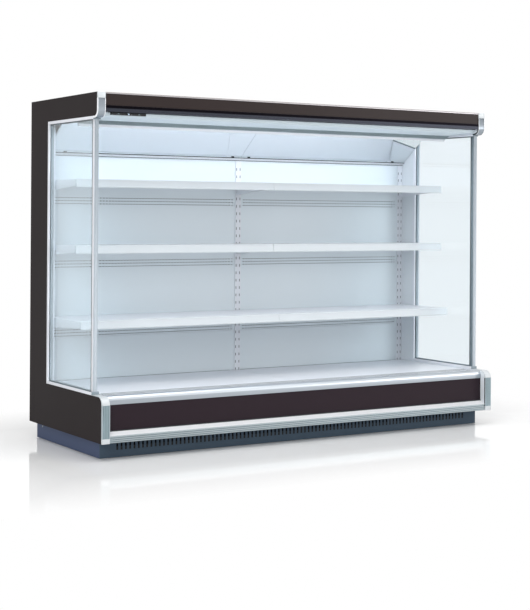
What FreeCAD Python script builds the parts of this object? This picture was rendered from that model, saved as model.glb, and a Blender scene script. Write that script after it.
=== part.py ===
# Open multideck display fridge: a plug-in refrigerated wall case with glazed ends, three rows
# of shelves in two bays, an inclined mirror, a canopy with a night blind, and the condensing
# unit in its base.
#
# Millimetres. The origin is on the floor under the middle of the case. +X is the right end as
# a customer sees it, -Y the open front and +Z up. A station is a distance forward from the
# rear face, and y_of turns it into Y. Side profiles are written as (station, height).
import FreeCAD, Part
import math
import os

V = FreeCAD.Vector

# ---------------------------------------------------------------- the case as a whole
WIDTH = 2600.0
DEPTH = 955.0
HEIGHT = 1900.0
UNDERSIDE = 92.0             # height of the body's lower edge above the floor
END_THICK = 45.0             # glazed end, outer face to inner face
LINER = 2.0                  # white skin on the inside of an end
CLEAR = 0.5                  # gap left round a piece that is pushed into its seat
SHEET = 2.0                  # folded steel sheet
FACE_GAP = 1.0               # gap between two pieces that meet side by side

# ---------------------------------------------------------------- ends
COLUMN_DEPTH = 236.0         # rear column of an end, in front of the rear face
LOWER_ARM = 237.0            # height of the arm under the window
UPPER_ARM = 123.0            # height of the arm above the window
CANOPY_SETBACK = 76.0        # canopy front behind the base front
TRIM = 10.0                  # aluminium edge round the front of an arm
TRIM_LIP = 2.0               # how far the base trim stands above the arm
CANOPY_CORNER = 40.0
BASE_CORNER = 48.0
BAND = 16.0                  # window frame, seen from the side
GLASS_SEAT = 6.0             # how deep the glass goes into its frame
PANE = 4.0
GLASS_UNIT = 24.0            # two panes and the spacer between them
GLASS_INSET = 10.0           # glass behind the outer face of the end
SPACER = 10.0
POST = 24.0                  # square front post
POST_SETBACK = 133.0         # front of the post behind the base front
BASE_CAP_HEIGHT = 42.0       # white corner caps of the trims
FOOT_CAP_HEIGHT = 26.0
CANOPY_CAP_HEIGHT = 32.0
CANOPY_FOOT_HEIGHT = 35.0
TRIM_GROOVE_PITCH = 9.0
TRIM_GROOVE = 1.6

# ---------------------------------------------------------------- base
FOOT_HEIGHT = 25.0
FOOT_PAD = 18.0              # radius of a levelling foot's pad
FOOT_PAD_HEIGHT = 8.0
FOOT_STEM = 6.0
RAIL_WIDTH = 40.0
RAIL_HEIGHT = 30.0
BAY_POST = 110.0             # posts from the base rails up to the tank
FRAME_BAYS = 4
KICK_INSET = 36.0            # kick plate inside the outer faces of the ends
KICK_SETBACK = 104.0         # kick plate behind the base front
KICK_REAR = 27.0
KICK_GAP = 2.0               # kick plate above the floor
SLOT_PITCH = 25.0
SLOT_WIDTH = 11.0
SLOT_FOOT = 46.0             # lower end of the kick plate's slots above the floor
SLOT_HEIGHT = 34.0
SLOT_MARGIN = 89.0           # first slot from the end of the kick plate
LOUVRE_PITCH = 60.0
LOUVRE_LENGTH = 44.0
LOUVRE_HEIGHT = 6.0
LOUVRE_ROWS = 3
LOUVRE_RISE = 22.0

# ---------------------------------------------------------------- insulated body
INSULATION = 35.0            # tank and roof
REAR_WALL = 60.0
DUCT = 54.0                  # air duct between the rear wall and the rear panels
TANK_SETBACK = 60.0          # tank front behind the base front
FRONT_RECESS = 46.0          # front panel behind the base front
RAIL_SEAT = 31.0             # top rail above the tank's front wall
ROOF_DROP = 10.0             # roof below the top of the ends
ROOF_SETBACK = 105.0         # roof front behind the base front

# ---------------------------------------------------------------- front
RAIL_WALL = 3.0
RAIL_DEPTH = 26.0            # top rail, front to back
RAIL_FACE = 46.0             # height of the top rail's front
RAIL_ROUND = 12.0
PANEL_TUCK = 20.0            # how far the front panel goes up behind the top rail
PANEL_RIB = 12.0             # ribs that hold the front panel off the tank
BUMPER_HEIGHT = 38.0         # grooved face of the bumper
BUMPER_LIP = 22.0            # sloping top of the bumper
BUMPER_OUT = 5.0             # bumper front behind the base front
BUMPER_BACK = 10.0           # depth of the flange that holds the bumper
BUMPER_GROOVE_PITCH = 9.5
BUMPER_GROOVE = 3.0

# ---------------------------------------------------------------- canopy
FASCIA_HEIGHT = 58.0
FASCIA_SETBACK = 81.0        # fascia front behind the base front
TOP_TRIM = 8.0
TOP_TRIM_DEPTH = 37.0
SOFFIT_SHEET = 1.5
SOFFIT_REAR_SETBACK = 353.0  # soffit's rear edge behind the base front
SOFFIT_REAR_DROP = 129.0     # soffit's rear edge below the top
SOFFIT_BEND_SETBACK = 122.0
SOFFIT_BEND_DROP = 121.0
SOFFIT_FRONT_SETBACK = 111.0
SOFFIT_FRONT_DROP = 103.0
COMB_TILT = 24.0             # honeycomb, degrees below level towards the rear
COMB_LENGTH = 46.0
COMB_THICK = 18.0
LIP_DROP = 14.0              # lip below the honeycomb
LIP_FOOT = 5.0
MIRROR_TILT = 37.5
MIRROR_FOOT_DROP = 300.0     # mirror's lower edge below the top
MIRROR_THICK = 4.0
MIRROR_MARGIN = 3.0
DUCT_ROOF_DROP = 117.0       # level part of the canopy duct panel below the top
LAMP_END_GAP = 55.0          # lamp to the inside of an end
LAMP_DEPTH = 26.0
LAMP_HEIGHT = 22.0
LAMP_GAP = 15.0              # lamp behind the lip

# ---------------------------------------------------------------- night blind
BAR_HEIGHT = 32.0
BAR_THICK = 7.0
BAR_OUT = 78.0               # bar front behind the base front
BAR_LEG = 19.0               # bar from its front to the back of its leg
BAR_LEG_THICK = 4.0
BAR_GROOVE_PITCH = 8.0
ROLLER = 24.0                # radius of the wound roller
ROLLER_DROP = 74.0           # roller axis below the top
CLOTH = 0.8
CLOTH_GAP = 0.3
ROLLER_PIN = 5.0
PIN_LENGTH = 26.0
RUNNING = 0.05               # radial running clearance of a shaft in its bore
BLIND_BRACKET = 4.0

# ---------------------------------------------------------------- shelves
UPRIGHT = 40.0               # width of a slotted upright
UPRIGHT_WALL = 2.5
UPRIGHT_FACE = 4.0           # upright's face in front of the rear panels
PANEL_SEAM = 565.0           # height of the seam between lower and upper rear panels
HOOK_PITCH = 45.0
HOOK_FIRST = 330.0           # height of the lowest hook slot
HOOK_TOP_MARGIN = 47.0       # least distance from the highest hook slot to the upright's top
HOOK_SLOT = 5.0
HOOK_SLOT_HEIGHT = 16.0
HOOK_COLUMN = 12.0           # slot column from the upright's middle
UPPER_SHELF_SLOT = 3         # hook slots above the upper shelf's own
LOWER_SHELF_SLOT = 7         # hook slots below the lower shelf's own
SHELF_ABOVE_HOOK = 45.0      # shelf top above the hook slot it hangs in
SHELF_DEPTH = {"upper": 396.0, "middle": 396.0, "lower": 461.0}
SHELF_LIP = 30.0
SHELF_END_GAP = 3.0
BRACKET = 3.0
BRACKET_REAR = 64.0          # depth of a bracket at the uprights
BRACKET_FRONT = 34.0
BRACKET_SHOULDER = 130.0     # where the bracket's deep part starts, from the upright
BRACKET_NOSE = 10.0          # bracket's nose behind the shelf front
HOOK_TAB = 12.0
HOOK_REACH = 6.0
PRICE_RAIL = 14.0
PRICE_RAIL_HEIGHT = 45.0
PRICE_RAIL_ABOVE = 3.0

# ---------------------------------------------------------------- deck and air
DECK_DROP = 6.0              # deck below the top of the top rail
DECK_PER_BAY = 2
DECK_LIP = 25.0
DECK_LEG = 25.0
GRILLE_DEPTH = 144.5         # return grille, front to back
GRILLE_GAP = 2.0
GRILLE_PITCH = 20.0
GRILLE_SLOT = 8.0
GRILLE_SLOT_LENGTH = 34.0
GRILLE_ROWS = 3
COIL_END_GAP = 135.0         # evaporator to the inside of an end
COIL_START = 190.0
COIL_DEPTH = 240.0
COIL_HEIGHT = 100.0
COIL_PLATE = 3.0
FAN_COUNT = 3
FAN_PITCH = 760.0
FAN_RADIUS = 72.0
FAN_GAP = 5.0
FAN_HUB = 26.0
FAN_THICK = 18.0
FAN_BLADE = 2.5
FAN_BLADES = 5
BLADE_ANGLE = 35.0
FAN_PLATE_GAP = 40.0         # fan plate's foot in front of the evaporator
FAN_PLATE_DEPTH = 150.0
FAN_MOTOR = 27.0
FAN_MOTOR_LENGTH = 30.0
FAN_SHAFT = 4.0
FAN_CLEAR = 3.0              # blades to the motor and its bracket
FAN_ARM = 14.0
FAN_ARM_THICK = 3.0

# ---------------------------------------------------------------- condensing unit
TRAY_THICK = 2.0
COND_GAP = 8.5               # condenser to the cross rails on both sides
COND_SETBACK = 66.0          # condenser behind the kick plate
COND_DEPTH = 50.0
COND_HEIGHT = 120.0
SHROUD_DEPTH = 40.0
COND_FANS = 2
COND_FAN_PITCH = 280.0
COND_FAN_RADIUS = 50.0
COND_FAN_GAP = 4.0
COND_FAN_THICK = 16.0
COND_FAN_BLADES = 7
COND_MOTOR = 22.0
COND_MOTOR_LENGTH = 36.0
COMP_RADIUS = 56.0
COMP_LENGTH = 340.0
COMP_STATION = 360.0
COMP_FOOT = 8.0
RECEIVER_RADIUS = 35.0
RECEIVER_LENGTH = 260.0
RECEIVER_GAP = 60.0          # receiver to the middle cross rail
RECEIVER_STATION = 560.0
PIPE = 6.0
PIPE_BEND = 18.0
SUCTION_PIPE = 9.0
EVAP_TRAY_GAP = 38.5         # evaporation tray to the cross rails on both sides
EVAP_TRAY_START = 120.0
EVAP_TRAY_DEPTH = 280.0
EVAP_TRAY_HEIGHT = 50.0
DRAIN_RADIUS = 16.0
DRAIN_WALL = 2.5
DRAIN_LENGTH = 80.0
DRAIN_STATION = 260.0
ELEC_LENGTH = 300.0
ELEC_SETBACK = 91.0          # electrical box behind the kick plate
ELEC_DEPTH = 200.0
ELEC_HEIGHT = 90.0

# ---------------------------------------------------------------- controls
HOUSING_FROM_END = 89.0      # control housing from the outer face of the left end
HOUSING_LENGTH = 201.0
HOUSING_DEPTH = 30.0
HOUSING_HEIGHT = 12.0
HOUSING_WALL = 1.5
BUTTON_WIDTH = 9.0
BUTTON_HEIGHT = 5.0
BUTTON_PROUD = 1.2
BUTTON_STEM = 6.0
BUTTON_GAP = 0.3
BUTTON_SPREAD = 60.0         # buttons from the middle of the housing
DISPLAY_WIDTH = 34.0
DISPLAY_HEIGHT = 8.0
SCREW_HEAD = 5.0
SCREW_HEAD_HEIGHT = 2.0

# ---------------------------------------------------------------- worked out from the above
inner = WIDTH / 2 - END_THICK
base_top = UNDERSIDE + LOWER_ARM
window_top = HEIGHT - UPPER_ARM
canopy_front = DEPTH - CANOPY_SETBACK
post_front = DEPTH - POST_SETBACK
post_rear = post_front - POST
kick_front = DEPTH - KICK_SETBACK
kick_half = WIDTH / 2 - KICK_INSET
frame_half = inner - FACE_GAP - RAIL_WIDTH / 2
frame_places = [frame_half * (2 * i / FRAME_BAYS - 1) for i in range(FRAME_BAYS + 1)]
bay_walls = [(left + RAIL_WIDTH / 2, right - RAIL_WIDTH / 2)
             for left, right in zip(frame_places, frame_places[1:])]
rail_top_z = FOOT_HEIGHT + RAIL_HEIGHT
tank_bottom = rail_top_z + BAY_POST
tank_floor = tank_bottom + INSULATION
tank_front = DEPTH - TANK_SETBACK
panel_face = DEPTH - FRONT_RECESS
front_rail_top = base_top + TRIM_LIP
tank_wall_top = front_rail_top - RAIL_SEAT
deck_top = front_rail_top - DECK_DROP
rail_back = panel_face + RAIL_WALL - RAIL_DEPTH
grille_front = rail_back - FACE_GAP
grille_rear = grille_front - GRILLE_DEPTH
deck_front = grille_rear - GRILLE_GAP
roof_top = HEIGHT - ROOF_DROP
roof_bottom = roof_top - INSULATION
roof_front = DEPTH - ROOF_SETBACK
duct_front = REAR_WALL + DUCT
panel_front = duct_front + SHEET
upright_front = panel_front + UPRIGHT_FACE
mirror_foot = HEIGHT - MIRROR_FOOT_DROP
hook_count = int((mirror_foot - HOOK_TOP_MARGIN - HOOK_FIRST) / HOOK_PITCH) + 1
upper_slot = hook_count - 1 - UPPER_SHELF_SLOT
middle_slot = (upper_slot + LOWER_SHELF_SLOT + 1) // 2
shelf_slots = {"upper": upper_slot, "middle": middle_slot, "lower": LOWER_SHELF_SLOT}
bumper_front = DEPTH - BUMPER_OUT
bumper_top = UNDERSIDE + BUMPER_HEIGHT
fascia_front = DEPTH - FASCIA_SETBACK
fascia_top = roof_top + SHEET
fascia_bottom = fascia_top - FASCIA_HEIGHT - SHEET
soffit_rear = DEPTH - SOFFIT_REAR_SETBACK
soffit_bend = DEPTH - SOFFIT_BEND_SETBACK
soffit_front = DEPTH - SOFFIT_FRONT_SETBACK
bar_front = DEPTH - BAR_OUT
bar_top = fascia_bottom - FACE_GAP
bar_bottom = bar_top - BAR_HEIGHT
bar_leg_back = bar_front - BAR_LEG
cloth_back = bar_leg_back + 2 * FACE_GAP + CLOTH_GAP
roller_station = cloth_back - CLOTH_GAP - ROLLER
roller_z = HEIGHT - ROLLER_DROP
machine_floor = FOOT_HEIGHT + TRAY_THICK
coil_half = inner - COIL_END_GAP
fan_plate_rear = COIL_START + COIL_DEPTH + FAN_PLATE_GAP
fan_plate_front = fan_plate_rear + FAN_PLATE_DEPTH
cond_left = bay_walls[1][0] + COND_GAP
cond_right = bay_walls[1][1] - COND_GAP
cond_front = kick_front - COND_SETBACK
cond_rear = cond_front - COND_DEPTH
shroud_rear = cond_rear - SHROUD_DEPTH
comp_x = sum(bay_walls[1]) / 2
receiver_x = bay_walls[2][0] + RECEIVER_GAP
evap_tray_left = bay_walls[2][0] + EVAP_TRAY_GAP
evap_tray_right = bay_walls[2][1] - EVAP_TRAY_GAP
drain_x = (evap_tray_left + evap_tray_right) / 2
elec_left = (sum(bay_walls[-1]) - ELEC_LENGTH) / 2
elec_front = kick_front - ELEC_SETBACK


# ================================================================ helpers
def y_of(station):
    """Y of a station measured forward from the rear face."""
    return DEPTH / 2 - station


def block(x0, x1, front_back, low_high):
    """Box between two X, two stations and two heights."""
    start, end = front_back
    low, high = low_high
    return Part.makeBox(x1 - x0, end - start, high - low, V(x0, y_of(end), low))


def outline(points, x):
    """Closed wire at x through (station, height) points, with a corner radius where given."""
    corners = [V(x, y_of(point[0]), point[1]) for point in points]
    radii = [point[2] if len(point) > 2 else 0 for point in points]
    arcs = []
    for i, corner in enumerate(corners):
        back = (corners[i - 1] - corner).normalize()
        ahead = (corners[(i + 1) % len(corners)] - corner).normalize()
        half = back.getAngle(ahead) / 2
        reach = radii[i] / math.tan(half)
        middle = corner
        if radii[i] > 0:
            middle = corner + (back + ahead).normalize() * (radii[i] / math.sin(half) - radii[i])
        arcs.append((corner + back * reach, middle, corner + ahead * reach))
    edges = []
    for i, (start, middle, end) in enumerate(arcs):
        if radii[i] > 0:
            edges.append(Part.Arc(start, middle, end).toShape())
        following = arcs[(i + 1) % len(arcs)][0]
        if (following - end).Length > 1e-6:
            edges.append(Part.LineSegment(end, following).toShape())
    return Part.Wire(edges)


def profile(points, x0, x1):
    """Solid with one side profile all the way from x0 to x1."""
    return Part.Face(outline(points, x0)).extrude(V(x1 - x0, 0, 0))


def folded(path, thickness, x0, x1):
    """Sheet folded along a (station, height) path, its thickness on the path's left."""
    offset = []
    for i, (station, height) in enumerate(path):
        normals = []
        for a, b in ((i - 1, i), (i, i + 1)):
            if a >= 0 and b < len(path):
                run = path[b][0] - path[a][0]
                rise = path[b][1] - path[a][1]
                length = math.hypot(run, rise)
                normals.append((-rise / length, run / length))
        along = sum(n[0] for n in normals)
        up = sum(n[1] for n in normals)
        scale = thickness * len(normals) / (along * along + up * up)
        offset.append((station + along * scale, height + up * scale))
    return profile(list(path) + offset[::-1], x0, x1)


def both_ends(shape):
    """A left-hand shape and its mirror image at the right end."""
    return [shape, shape.mirror(V(0, 0, 0), V(1, 0, 0))]


def spread(count, pitch):
    """Places of so many copies, centred on 0."""
    return [(i - (count - 1) / 2) * pitch for i in range(count)]


def cut_all(shape, tools):
    """Shape less every tool."""
    return shape.cut(Part.makeCompound(tools)) if tools else shape


def along_y(radius, length, x, station, height):
    """Cylinder that runs forward from a station."""
    return Part.makeCylinder(radius, length, V(x, y_of(station), height), V(0, -1, 0))


def along_x(radius, length, x, station, height):
    """Cylinder that runs to the right from x."""
    return Part.makeCylinder(radius, length, V(x, y_of(station), height), V(1, 0, 0))


def upright_rod(radius, length, x, station, low):
    """Cylinder that stands on a height."""
    return Part.makeCylinder(radius, length, V(x, y_of(station), low))


def save(node, shapes):
    """Write a node from one solid or a group of separate solids."""
    solids = shapes if isinstance(shapes, list) else [shapes]
    shape = solids[0] if len(solids) == 1 else Part.makeCompound(solids)
    shape.exportStep("parts/" + node + ".step")


# ================================================================ base and kick plate
def base_frame():
    """Welded rails on the feet, posts under the tank and the tray of the machine bay."""
    half = kick_half - SHEET
    rear = (KICK_REAR + SHEET, KICK_REAR + SHEET + RAIL_WIDTH)
    front = (kick_front - SHEET - RAIL_WIDTH, kick_front - SHEET)
    between = (rear[1], front[0])
    heights = (FOOT_HEIGHT, rail_top_z)
    solids = [block(-half, half, rear, heights), block(-half, half, front, heights)]
    for x in frame_places:
        solids.append(block(x - RAIL_WIDTH / 2, x + RAIL_WIDTH / 2, between, heights))
        for stations in (rear, front):
            solids.append(block(x - RAIL_WIDTH / 2, x + RAIL_WIDTH / 2, stations,
                                (rail_top_z, tank_bottom)))
    for left, right in bay_walls:
        solids.append(block(left, right, between, (FOOT_HEIGHT, machine_floor)))
    return solids


def levelling_feet():
    """A pad and stem under each end and the middle of both long rails."""
    solids = []
    for x in (frame_places[0], 0, frame_places[-1]):
        for station in (KICK_REAR + SHEET + RAIL_WIDTH / 2, kick_front - SHEET - RAIL_WIDTH / 2):
            pad = upright_rod(FOOT_PAD, FOOT_PAD_HEIGHT, x, station, 0)
            stem = upright_rod(FOOT_STEM, FOOT_HEIGHT - FOOT_PAD_HEIGHT, x, station,
                               FOOT_PAD_HEIGHT)
            solids.append(pad.fuse(stem).removeSplitter())
    return solids


def kick_plate_front():
    """Front kick plate with the air slots of the condensing unit."""
    plate = block(-kick_half, kick_half, (kick_front - SHEET, kick_front), (KICK_GAP, UNDERSIDE))
    room = 2 * (kick_half - SLOT_MARGIN) - SLOT_WIDTH
    count = int(room / SLOT_PITCH) + 1
    slots = []
    for x in spread(count, SLOT_PITCH):
        slots.append(block(x - SLOT_WIDTH / 2, x + SLOT_WIDTH / 2,
                           (kick_front - 2 * SHEET, kick_front + SHEET),
                           (SLOT_FOOT, SLOT_FOOT + SLOT_HEIGHT)))
    return cut_all(plate, slots)


def kick_plate_sides():
    """Kick plates under the two ends."""
    plate = block(-kick_half, -kick_half + SHEET, (KICK_REAR, kick_front - SHEET),
                  (KICK_GAP, UNDERSIDE))
    return both_ends(plate)


def rear_service_grille():
    """Louvred cover behind the machine bay."""
    stations = (KICK_REAR, KICK_REAR + SHEET)
    half = inner - FACE_GAP
    cover = block(-half, half, stations, (KICK_GAP, tank_bottom - FACE_GAP))
    slots = []
    middle = (KICK_GAP + tank_bottom) / 2
    count = int(2 * (half - LOUVRE_PITCH) / LOUVRE_PITCH)
    for x in spread(count, LOUVRE_PITCH):
        for rise in spread(LOUVRE_ROWS, LOUVRE_RISE):
            low = middle + rise - LOUVRE_HEIGHT / 2
            slots.append(block(x - LOUVRE_LENGTH / 2, x + LOUVRE_LENGTH / 2,
                               (KICK_REAR - SHEET, KICK_REAR + 2 * SHEET),
                               (low, low + LOUVRE_HEIGHT)))
    return cut_all(cover, slots)


# ================================================================ insulated body
def pipe_slot():
    """Opening in the tank floor for the two refrigerant pipes."""
    reach = SUCTION_PIPE + 4 * PIPE
    x = pipe_riser_x()
    return block(x - reach, x + reach, (coil_pipe_station() - 2 * reach, coil_pipe_station() + reach),
                 (tank_bottom - SHEET, tank_floor + SHEET))


def tank_shell():
    """Insulated tank under the deck: a floor and a front wall."""
    shell = profile([(0, tank_bottom), (tank_front, tank_bottom), (tank_front, tank_wall_top),
                     (tank_front - INSULATION, tank_wall_top),
                     (tank_front - INSULATION, tank_floor), (0, tank_floor)], -inner, inner)
    drain = upright_rod(DRAIN_RADIUS + CLEAR, INSULATION + 2 * SHEET, drain_x, DRAIN_STATION,
                        tank_bottom - SHEET)
    return cut_all(shell, [drain, pipe_slot()])


def drain_outlet():
    """Drain spigot from the tank floor down to the evaporation tray."""
    top = tank_floor
    low = tank_bottom - DRAIN_LENGTH
    tube = upright_rod(DRAIN_RADIUS, top - low, drain_x, DRAIN_STATION, low)
    flange = upright_rod(DRAIN_RADIUS + 4 * DRAIN_WALL, DRAIN_WALL, drain_x, DRAIN_STATION,
                         tank_bottom - DRAIN_WALL)
    bore = upright_rod(DRAIN_RADIUS - DRAIN_WALL, top - low + 2 * SHEET, drain_x, DRAIN_STATION,
                       low - SHEET)
    return tube.fuse(flange).cut(bore)


def rear_wall():
    """Insulated rear wall between the ends."""
    return block(-inner, inner, (0, REAR_WALL), (tank_floor, roof_bottom))


def canopy_roof():
    """Insulated roof on the rear wall."""
    return block(-inner, inner, (0, roof_front), (roof_bottom, roof_top))


# ================================================================ ends
def end_outline():
    """Side outline of an end: rear column, lower arm and upper arm round the window."""
    arm_front = DEPTH - TRIM
    head_front = canopy_front - TRIM
    return [(0, UNDERSIDE), (arm_front, UNDERSIDE), (arm_front, base_top, BASE_CORNER - TRIM),
            (COLUMN_DEPTH, base_top), (COLUMN_DEPTH, window_top),
            (head_front, window_top, CANOPY_CORNER - TRIM), (head_front, HEIGHT), (0, HEIGHT)]


def end_panel():
    """Dark insulated end panel, left hand."""
    return profile(end_outline(), -WIDTH / 2, -inner - LINER)


def end_liner():
    """White inner skin of the end, left hand."""
    return profile(end_outline(), -inner - LINER, -inner)


def glass_x():
    """Outer and inner X of the left glass unit."""
    outer = -WIDTH / 2 + GLASS_INSET
    return outer, outer + GLASS_UNIT


def glass_edges(gap):
    """Stations and heights of the glass, or of its seat when the gap is 0."""
    rear = COLUMN_DEPTH + BAND - GLASS_SEAT + gap
    low = base_top + BAND - GLASS_SEAT + gap
    high = window_top - BAND + GLASS_SEAT - gap
    return (rear, post_rear - gap), (low, high)


def window_frame():
    """Frame on three sides of the glass and the spacer between the panes, left hand."""
    ring = profile([(COLUMN_DEPTH, base_top), (post_front, base_top),
                    (post_front, base_top + BAND), (COLUMN_DEPTH + BAND, base_top + BAND),
                    (COLUMN_DEPTH + BAND, window_top - BAND), (post_front, window_top - BAND),
                    (post_front, window_top), (COLUMN_DEPTH, window_top)], -WIDTH / 2, -inner)
    outer, inward = glass_x()
    stations, heights = glass_edges(0)
    groove = block(outer - CLEAR, inward + CLEAR, stations, heights)
    stations, heights = glass_edges(CLEAR)
    spacer = block(outer + PANE, inward - PANE, stations, heights)
    hole = block(outer, inward, (stations[0] + SPACER, stations[1] - SPACER),
                 (heights[0] + SPACER, heights[1] - SPACER))
    return [ring.cut(groove), spacer.cut(hole)]


def side_glass():
    """Two panes of one glazed end, left hand."""
    outer, inward = glass_x()
    stations, heights = glass_edges(CLEAR)
    return [block(outer, outer + PANE, stations, heights),
            block(inward - PANE, inward, stations, heights)]


def front_post():
    """Square post at the front edge of the glass, left hand."""
    outer, inward = glass_x()
    return block(outer, inward, (post_rear, post_front), (base_top + BAND, window_top - BAND))


def canopy_edge():
    """Aluminium edge round the front of the upper arm, left hand, in one piece."""
    return profile([(post_front, window_top - TRIM), (canopy_front, window_top - TRIM, CANOPY_CORNER),
                    (canopy_front, HEIGHT), (canopy_front - TRIM, HEIGHT),
                    (canopy_front - TRIM, window_top, CANOPY_CORNER - TRIM),
                    (post_front, window_top)], -WIDTH / 2, -inner)


def base_edge():
    """Aluminium edge round the front of the lower arm, left hand, in one piece."""
    return profile([(post_front, front_rail_top), (DEPTH, front_rail_top, BASE_CORNER),
                    (DEPTH, UNDERSIDE), (DEPTH - TRIM, UNDERSIDE),
                    (DEPTH - TRIM, base_top, BASE_CORNER - TRIM), (post_front, base_top)],
                   -WIDTH / 2, -inner)


def slice_heights(shape, low, high):
    """The part of a left-hand edge between two heights."""
    return shape.common(block(-WIDTH / 2 - TRIM, -inner + TRIM, (0, DEPTH + TRIM), (low, high)))


def end_trims():
    """Straight extrusions of the canopy and base edges, the base one grooved, left hand."""
    canopy = slice_heights(canopy_edge(), window_top - TRIM + CANOPY_FOOT_HEIGHT,
                           HEIGHT - CANOPY_CAP_HEIGHT)
    low = UNDERSIDE + FOOT_CAP_HEIGHT
    high = front_rail_top - BASE_CAP_HEIGHT
    base = slice_heights(base_edge(), low, high)
    middle = -WIDTH / 2 + END_THICK / 2
    grooves = []
    for x in spread(round(END_THICK / TRIM_GROOVE_PITCH) - 1, TRIM_GROOVE_PITCH):
        grooves.append(block(middle + x - TRIM_GROOVE / 2, middle + x + TRIM_GROOVE / 2,
                             (DEPTH - TRIM_GROOVE, DEPTH + TRIM_GROOVE),
                             (low - TRIM, high + TRIM)))
    return [canopy, cut_all(base, grooves)]


def corner_caps():
    """White caps at the ends of both edges, left hand."""
    return [slice_heights(canopy_edge(), HEIGHT - CANOPY_CAP_HEIGHT, HEIGHT),
            slice_heights(canopy_edge(), window_top - TRIM,
                          window_top - TRIM + CANOPY_FOOT_HEIGHT),
            slice_heights(base_edge(), front_rail_top - BASE_CAP_HEIGHT, front_rail_top),
            slice_heights(base_edge(), UNDERSIDE, UNDERSIDE + FOOT_CAP_HEIGHT)]


# ================================================================ front below the deck
def top_rail():
    """Rounded aluminium rail along the top of the front, hooked over the tank wall."""
    face = panel_face + RAIL_WALL
    foot = front_rail_top - RAIL_FACE
    return profile([(rail_back, tank_wall_top), (rail_back, front_rail_top),
                    (face, front_rail_top, RAIL_ROUND), (face, foot), (face - RAIL_WALL, foot),
                    (face - RAIL_WALL, front_rail_top - RAIL_WALL, RAIL_ROUND - RAIL_WALL),
                    (rail_back + RAIL_WALL, front_rail_top - RAIL_WALL),
                    (rail_back + RAIL_WALL, tank_wall_top)], -inner, inner)


def front_panel():
    """Dark front panel with two ribs that stand it off the tank."""
    top = front_rail_top - RAIL_FACE + PANEL_TUCK
    low = bumper_top + BUMPER_LIP - SHEET
    sheet = block(-inner, inner, (panel_face - SHEET, panel_face), (low, top))
    ribs = []
    for height in (tank_bottom + PANEL_RIB, tank_wall_top - 2 * PANEL_RIB):
        ribs.append(block(-inner, inner, (tank_front, panel_face - SHEET),
                          (height, height + SHEET)))
    return sheet.fuse(ribs).removeSplitter()


def bumper_rail():
    """Grooved aluminium bumper under the front panel, on a flange of the tank."""
    wall = RAIL_WALL
    top = bumper_top + BUMPER_LIP
    hollow = [(tank_front, UNDERSIDE), (bumper_front, UNDERSIDE, 2 * wall),
              (bumper_front, bumper_top, wall), (panel_face, top), (panel_face, top - wall),
              (bumper_front - wall, bumper_top - wall), (bumper_front - wall, UNDERSIDE + wall),
              (tank_front + wall, UNDERSIDE + wall), (tank_front + wall, tank_bottom + BUMPER_BACK),
              (tank_front, tank_bottom + BUMPER_BACK)]
    rail = profile(hollow, -inner, inner)
    grooves = []
    for rise in spread(round(BUMPER_HEIGHT / BUMPER_GROOVE_PITCH) - 1, BUMPER_GROOVE_PITCH):
        height = UNDERSIDE + BUMPER_HEIGHT / 2 + rise
        grooves.append(block(-inner - SHEET, inner + SHEET,
                             (bumper_front - RAIL_WALL / 2, bumper_front + SHEET),
                             (height - BUMPER_GROOVE / 2, height + BUMPER_GROOVE / 2)))
    return cut_all(rail, grooves)


# ================================================================ canopy
def canopy_fascia():
    """Dark fascia folded over the roof's front edge."""
    back = roof_front - RAIL_WIDTH / 2
    return folded([(back, roof_top), (fascia_front - SHEET, roof_top),
                   (fascia_front - SHEET, fascia_bottom)], SHEET, -inner, inner)


def canopy_top_trim():
    """Aluminium line along the top of the fascia."""
    front = fascia_front + SHEET
    return profile([(front - TOP_TRIM_DEPTH, fascia_top), (front, fascia_top),
                    (front, fascia_top + TOP_TRIM, TOP_TRIM / 2),
                    (front - TOP_TRIM_DEPTH, fascia_top + TOP_TRIM)], -inner, inner)


def canopy_soffit():
    """Light soffit under the canopy, with an upstand that closes the air duct."""
    return folded([(soffit_rear, roof_bottom), (soffit_rear, HEIGHT - SOFFIT_REAR_DROP),
                   (soffit_bend, HEIGHT - SOFFIT_BEND_DROP),
                   (soffit_front, HEIGHT - SOFFIT_FRONT_DROP)], SOFFIT_SHEET, -inner, inner)


def comb_corners():
    """Front, rear, upper rear and upper front corners of the honeycomb's section."""
    tilt = math.radians(COMB_TILT)
    front = (soffit_rear - SHEET, HEIGHT - SOFFIT_REAR_DROP)
    rear = (front[0] - COMB_LENGTH * math.cos(tilt), front[1] - COMB_LENGTH * math.sin(tilt))
    up = (-COMB_THICK * math.sin(tilt), COMB_THICK * math.cos(tilt))
    return [front, rear, (rear[0] + up[0], rear[1] + up[1]), (front[0] + up[0], front[1] + up[1])]


def discharge_honeycomb():
    """Honeycomb that the air curtain leaves through."""
    return profile(comb_corners(), -inner, inner)


def mirror_line():
    """Foot of the sloping sheet behind the mirror, its direction and its length."""
    tilt = math.radians(MIRROR_TILT)
    direction = (math.cos(tilt), math.sin(tilt))
    foot = (panel_front + FACE_GAP, mirror_foot)
    length = (HEIGHT - DUCT_ROOF_DROP - mirror_foot) / direction[1]
    return foot, direction, length


def lip_back():
    """Station of the lip's upright part."""
    return comb_corners()[1][0] - COMB_THICK


def canopy_duct_panel():
    """Sheet under the canopy duct: foot, mirror slope, level part and discharge lip."""
    foot, direction, length = mirror_line()
    knee = (foot[0] + direction[0] * length, foot[1] + direction[1] * length)
    rear = comb_corners()[1]
    low = rear[1] - LIP_DROP
    path = [(foot[0] - COMB_THICK, foot[1]), foot, knee, (lip_back(), knee[1]), (lip_back(), low),
            (lip_back() + LIP_FOOT, low), rear]
    return folded(path, SOFFIT_SHEET, -inner, inner)


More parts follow.
